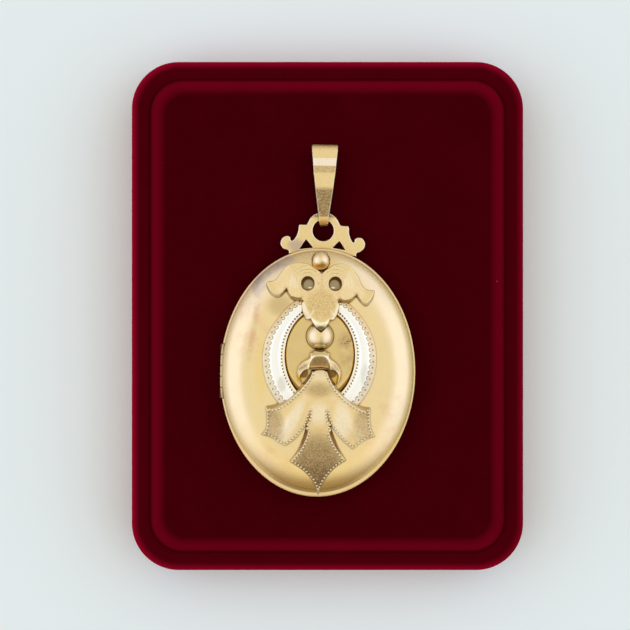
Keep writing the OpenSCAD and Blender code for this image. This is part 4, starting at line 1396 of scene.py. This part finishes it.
class LOCKET_OT_balls(bpy.types.Operator):
    """Ball in the crest's notch and polished half ball below the shield"""

    bl_idname = "locket.balls"
    bl_label = "Balls"

    def execute(self, context):
        form = Form(context.scene.locket_sizes)
        low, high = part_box("top_ball")
        middle = (low + high) / 2 / MM
        here = Matrix.Rotation(-TURN, 2) @ (middle.xy - CENTRE)
        radius = form.top_ball_radius
        shape = Shape()
        ball(shape, (*here, middle.z - PAD_HIGH.z), radius, radius, -1.5)
        piece(context, shape, "notch_ball", "lid", "case_gold", "top_ball")
        shape = Shape()
        foot = form.lid(HALF_BALL[0], HALF_BALL[1] - form.half_ball_radius) + GAP
        ball(shape, (*HALF_BALL, foot), form.half_ball_radius, form.half_ball_rise, 0.0)
        half = piece(context, shape, "half_ball", "lid", "case_gold", "mid_ball")
        tip = Shape()
        ends = [tip.put([(x, y, z) for x, y in TIP]) for z in (foot - 1, foot + 4)]
        tip.skin(ends)
        tip.faces += [tuple(reversed(ends[0])), tuple(ends[1])]
        carved(half, [tip])
        finished(context, half, "lid", "case_gold")
        return {"FINISHED"}


def under_arch(x, y):
    """Distance below the arched rim of the bell."""
    return 1.1 + 2.0 * math.sqrt(max(0, 1 - min(1, abs(x - BELL_MIDDLE) / 1.75) ** 2.6)) - y


def bell_height(form):
    """Height of the bell cap's top: a hood with a raised arched rim over a hollow front, and two horns."""
    def height(x, y):
        u = (x - BELL_MIDDLE) / 3.9
        hood = form.bell_rise * math.sqrt(max(0.08, 1 - 0.85 * abs(u) ** 1.7))
        hood -= 0.55 * ease(2.9, 3.9, y)
        below = under_arch(x, y)
        within = ease(2.0, 1.7, abs(x - BELL_MIDDLE))
        hood -= 0.6 * max(0, below) * within
        hood += 0.1 * math.exp(-(below / 0.25) ** 2) * within
        return form.lid(x, y) + max(0.45, hood)
    return height


class LOCKET_OT_bell(bpy.types.Operator):
    """Bell-shaped cap with two curled horns, from which the fan hangs"""

    bl_idname = "locket.bell"
    bl_label = "Bell cap"

    def execute(self, context):
        form = Form(context.scene.locket_sizes)

        def wall(point, normal):
            """Width of the sides, which are steep at the arch's foot."""
            return 0.08 if normal.y > 0.7 and abs(point.x - BELL_MIDDLE) < 2 else 0.2

        def shine(x, y):
            """Polish of the arched rim."""
            on_rim = math.exp(-((under_arch(x, y) + 0.12) / 0.2) ** 2)
            return on_rim * ease(2.1, 1.8, abs(x - BELL_MIDDLE))

        shape = Shape()
        relief(shape, [outline(BELL_EDGE, 0.1)], bell_height(form), lambda x, y: form.lid(x, y) + GAP / 2,
               wall, 0.11, soft=0.08, wall_polish=0.5, steps=(0.3, 0.65), shine=shine)
        piece(context, shape, "bell_hood", "lid", "matte_gold", "bell_cap", sharp=50)
        return {"FINISHED"}


def slot_tables():
    """The lines between the blade and the lobes, each as rows of (y, x) from the bottom up."""
    return [[(y, x) for x, y in reversed(slot)] for slot in (LEFT_SLOT, RIGHT_SLOT)]


def fan_height(form):
    """Height of the fan's top: a neck that falls from the bell, two folded lobes and a blade in front."""
    left, right = slot_tables()

    def height(x, y):
        rise = form.fan_rise + 0.55 * ease(-4.4, -1.4, y)
        rise -= 0.05 * min(3, abs(x - 0.4)) ** 2 * ease(-7, -3, y)
        low_side, high_side = table(left, y), table(right, y)
        below = ease(-5.6, -8.2, y)
        if low_side < x < high_side:
            middle, half = (low_side + high_side) / 2, (high_side - low_side) / 2
            rise += 0.3 * below * math.sqrt(max(0.0, 1 - min(1, abs(x - middle) / (half + 1.2)) ** 2))
            rise -= 1.2 * ease(-8.5, -18.5, y)
        else:
            out = (low_side - x) if x < low_side else (x - high_side)
            fold = math.sin(min(math.pi, out / 6.8 * math.pi)) * 0.3
            rise += below * (fold - 0.1) - 0.05 * max(0, out - 3.6) * below
            rise -= 0.14 * ease(3.0, 5.0, out) * max(0, -6.3 - y)
        return form.lid(x, y) + max(0.32, rise)
    return height


def edge_path(edge, wall, past, pitch):
    """Evenly spaced places just inside the top edge of a relief."""
    near = tree_of(edge)
    made = []
    for p, n in zip(edge, inward(edge)):
        reach = wall(p, n) + past
        spot = p + n * reach
        if near.find((*spot, 0))[2] > 0.93 * reach:
            made.append(spot)
    return evenly(made, pitch)


class LOCKET_OT_fan(bpy.types.Operator):
    """Drapery fan with two side lobes, a pointed blade and a beaded edge"""

    bl_idname = "locket.fan"
    bl_label = "Fan"

    def execute(self, context):
        form = Form(context.scene.locket_sizes)
        edge = outline(FAN_EDGE, 0.13)
        left, right = slot_tables()
        height = fan_height(form)

        def wall(point, normal):
            """Width of the sides, which slope at the shoulders and along the blade's upper edges."""
            shoulder = max(0, -normal.y) * ease(-7.5, -5.5, point.y)
            shoulder *= ease(0.9, 2.5, abs(point.x - 0.4) + 0.6)
            flank = ease(-9.1, -10.2, point.y) * ease(-15.4, -10.8, point.y)
            on_blade = -15.4 < point.y < -9.3 and \
                table(left, point.y) + 0.15 < point.x < table(right, point.y) - 0.15
            return 0.12 + 0.62 * shoulder + (0.1 + 0.42 * flank if on_blade else 0)

        lines = [(edge_path(edge, wall, 0.24, form.bead_pitch), True)]
        for slot, side in ((LEFT_SLOT, -1), (LEFT_SLOT, 1), (RIGHT_SLOT, -1), (RIGHT_SLOT, 1)):
            line = [Vector((x + side * table(((-9.1, 0.42), (-6.3, 0.16)), y), y)) for x, y in slot[:3]]
            lines.append((evenly(line, form.bead_pitch, closed=False), False))
        marks = []
        for line, closed in lines:
            following = line[1:] + line[:1] if closed else line[1:]
            for a, b in zip(line, following):
                middle, across = (a + b) / 2, inward([a, b], closed=False)[0]
                if middle.y < 0.1 and (closed or middle.y > -8.6):
                    # The dips between the beads are painted dark as shade through their pit value.
                    marks.append((*middle, -0.05, 0.0, 0.85 if closed else 0.6))
                    marks.extend((*(middle + side * 0.13 * across), 0.0, 0.0, 0.25) for side in (-1, 1))
        shape = Shape()
        relief(shape, [edge], height, lambda x, y: form.lid(x, y) + GAP / 2, wall, 0.2, marks, soft=0.05,
               edge_polish=0.5)
        piece(context, shape, "drapery_fan", "lid", "matte_gold", "fan", sharp=32)
        rows = Shape()
        for line, closed in lines:
            for spot in line:
                if spot.y < 0.1 and (closed or spot.y > -8.9):
                    rows.bead((spot.x, spot.y, height(spot.x, spot.y) - 0.01), form.bead)
        piece(context, rows, "fan_beads", "lid", "matte_gold")
        return {"FINISHED"}


class LOCKET_OT_stage(bpy.types.Operator):
    """Pale floor, soft light and the camera straight above"""

    bl_idname = "locket.stage"
    bl_label = "Stage"

    def execute(self, context):
        colours = context.scene.locket_colours
        half = 1.5
        mesh = bpy.data.meshes.new("floor")
        mesh.from_pydata([(-half, -half, 0), (half, -half, 0), (half, half, 0), (-half, half, 0)], [],
                         [(0, 1, 2, 3)])
        floor = bpy.data.objects.new("floor", mesh)
        context.scene.collection.objects.link(floor)
        ground, paint = material("ground", roughness=0.85, specular_ior_level=0.2)
        paint.finish(base_color=(*colours.floor, 1))
        mesh.materials.append(ground)
        context.scene.view_settings.view_transform = "Standard"
        light_tent(context)
        for name, place, size, power in (
                ("left_box", (-0.5, 0.0, 0.36), (0.42, 0.6), 0.12),
                ("right_box", (0.5, 0.05, 0.36), (0.42, 0.6), 0.1)):
            softbox(context, name, place, size, power)
        camera(context)
        return {"FINISHED"}


def softbox(context, name, place, size, power):
    """A soft rectangular light that faces the locket. The camera doesn't see it."""
    light = bpy.data.lights.new(name, "AREA")
    light.shape = "RECTANGLE"
    light.size, light.size_y = size
    light.energy = power
    lamp = bpy.data.objects.new(name, light)
    lamp.location = place
    lamp.rotation_euler = (Vector((0, -0.01, 0.015)) - Vector(place)).to_track_quat("-Z", "Y").to_euler()
    lamp.visible_camera = False
    context.scene.collection.objects.link(lamp)


def light_tent(context):
    """A pale tent of light that is bright to both sides and dim towards the front."""
    world = bpy.data.worlds.new("tent")
    context.scene.world = world
    paint = Paint(world, "ShaderNodeBackground", {})
    way = paint.node("ShaderNodeTexCoord", output="Generated")
    x, y, z = (Wire(paint, part) for part in
               paint.node("ShaderNodeSeparateXYZ", None, {0: way}).socket.node.outputs)
    side = x.math("ABSOLUTE").step(0.12, 0.6)
    front, back = (y * -1).step(0.42, 0.84), y.step(0.35, 0.9) * (1 - 0.8 * x.step(0.0, 0.4))
    low = 1 - z.step(0.0, 0.42)
    seen = paint.node("ShaderNodeLightPath", output="Is Camera Ray")
    colour = paint.mix(side, (0.95, 0.97, 0.99), (1.08, 1.2, 1.9))
    colour = paint.mix(0.9 * front + 0.35 * back + 0.4 * low, colour, (0.3, 0.215, 0.11))
    paint.finish(color=paint.mix(seen, colour, (0.84, 0.86, 0.87)))


def camera(context):
    """Camera straight above, with the pad at the photograph's place and size in a frame of 630 by 630."""
    frame_px, pad_px, pad_middle_px = 630, 393, (327.5, 316.0)
    distance = 330
    width = PAD_HIGH.x - PAD_LOW.x
    scale = width / pad_px
    data = bpy.data.cameras.new("camera")
    data.sensor_fit = "HORIZONTAL"
    data.angle = 2 * math.atan(frame_px * scale / 2 / distance)
    data.clip_start, data.clip_end = 0.01, 10
    eye = bpy.data.objects.new("camera", data)
    middle = frame_px / 2
    edge_top = PAD_HIGH.z - FIELD_RISE
    eye.location = (-(pad_middle_px[0] - middle) * scale * MM, (pad_middle_px[1] - middle) * scale * MM,
                    (edge_top + distance) * MM)
    context.scene.collection.objects.link(eye)
    context.scene.camera = eye


class LOCKET_PT_panel(bpy.types.Panel):
    """Lists the pieces and their sizes and colours"""

    bl_label = "Locket"
    bl_idname = "LOCKET_PT_panel"
    bl_space_type = "VIEW_3D"
    bl_region_type = "UI"
    bl_category = "Locket"

    def draw(self, context):
        for operator in OPERATORS:
            self.layout.operator(operator.bl_idname)
        for group in (context.scene.locket_sizes, context.scene.locket_colours):
            column = self.layout.column(align=True)
            for name in group.__annotations__:
                column.prop(group, name)


OPERATORS = (LOCKET_OT_pad, LOCKET_OT_case, LOCKET_OT_cresting, LOCKET_OT_bail, LOCKET_OT_ring,
             LOCKET_OT_crest, LOCKET_OT_balls, LOCKET_OT_bell, LOCKET_OT_fan, LOCKET_OT_stage)
CLASSES = (LocketSizes, LocketColours, *OPERATORS, LOCKET_PT_panel)


def register():
    for cls in CLASSES:
        bpy.utils.register_class(cls)
    bpy.types.Scene.locket_sizes = PointerProperty(type=LocketSizes)
    bpy.types.Scene.locket_colours = PointerProperty(type=LocketColours)


def unregister():
    del bpy.types.Scene.locket_colours
    del bpy.types.Scene.locket_sizes
    for cls in reversed(CLASSES):
        bpy.utils.unregister_class(cls)


def main():
    register()
    bpy.ops.locket.stage()
    bpy.ops.locket.pad()
    bpy.ops.locket.case()
    bpy.ops.locket.cresting()
    bpy.ops.locket.bail()
    bpy.ops.locket.ring()
    bpy.ops.locket.crest()
    bpy.ops.locket.balls()
    bpy.ops.locket.bell()
    bpy.ops.locket.fan()


if __name__ == "__main__":
    main()
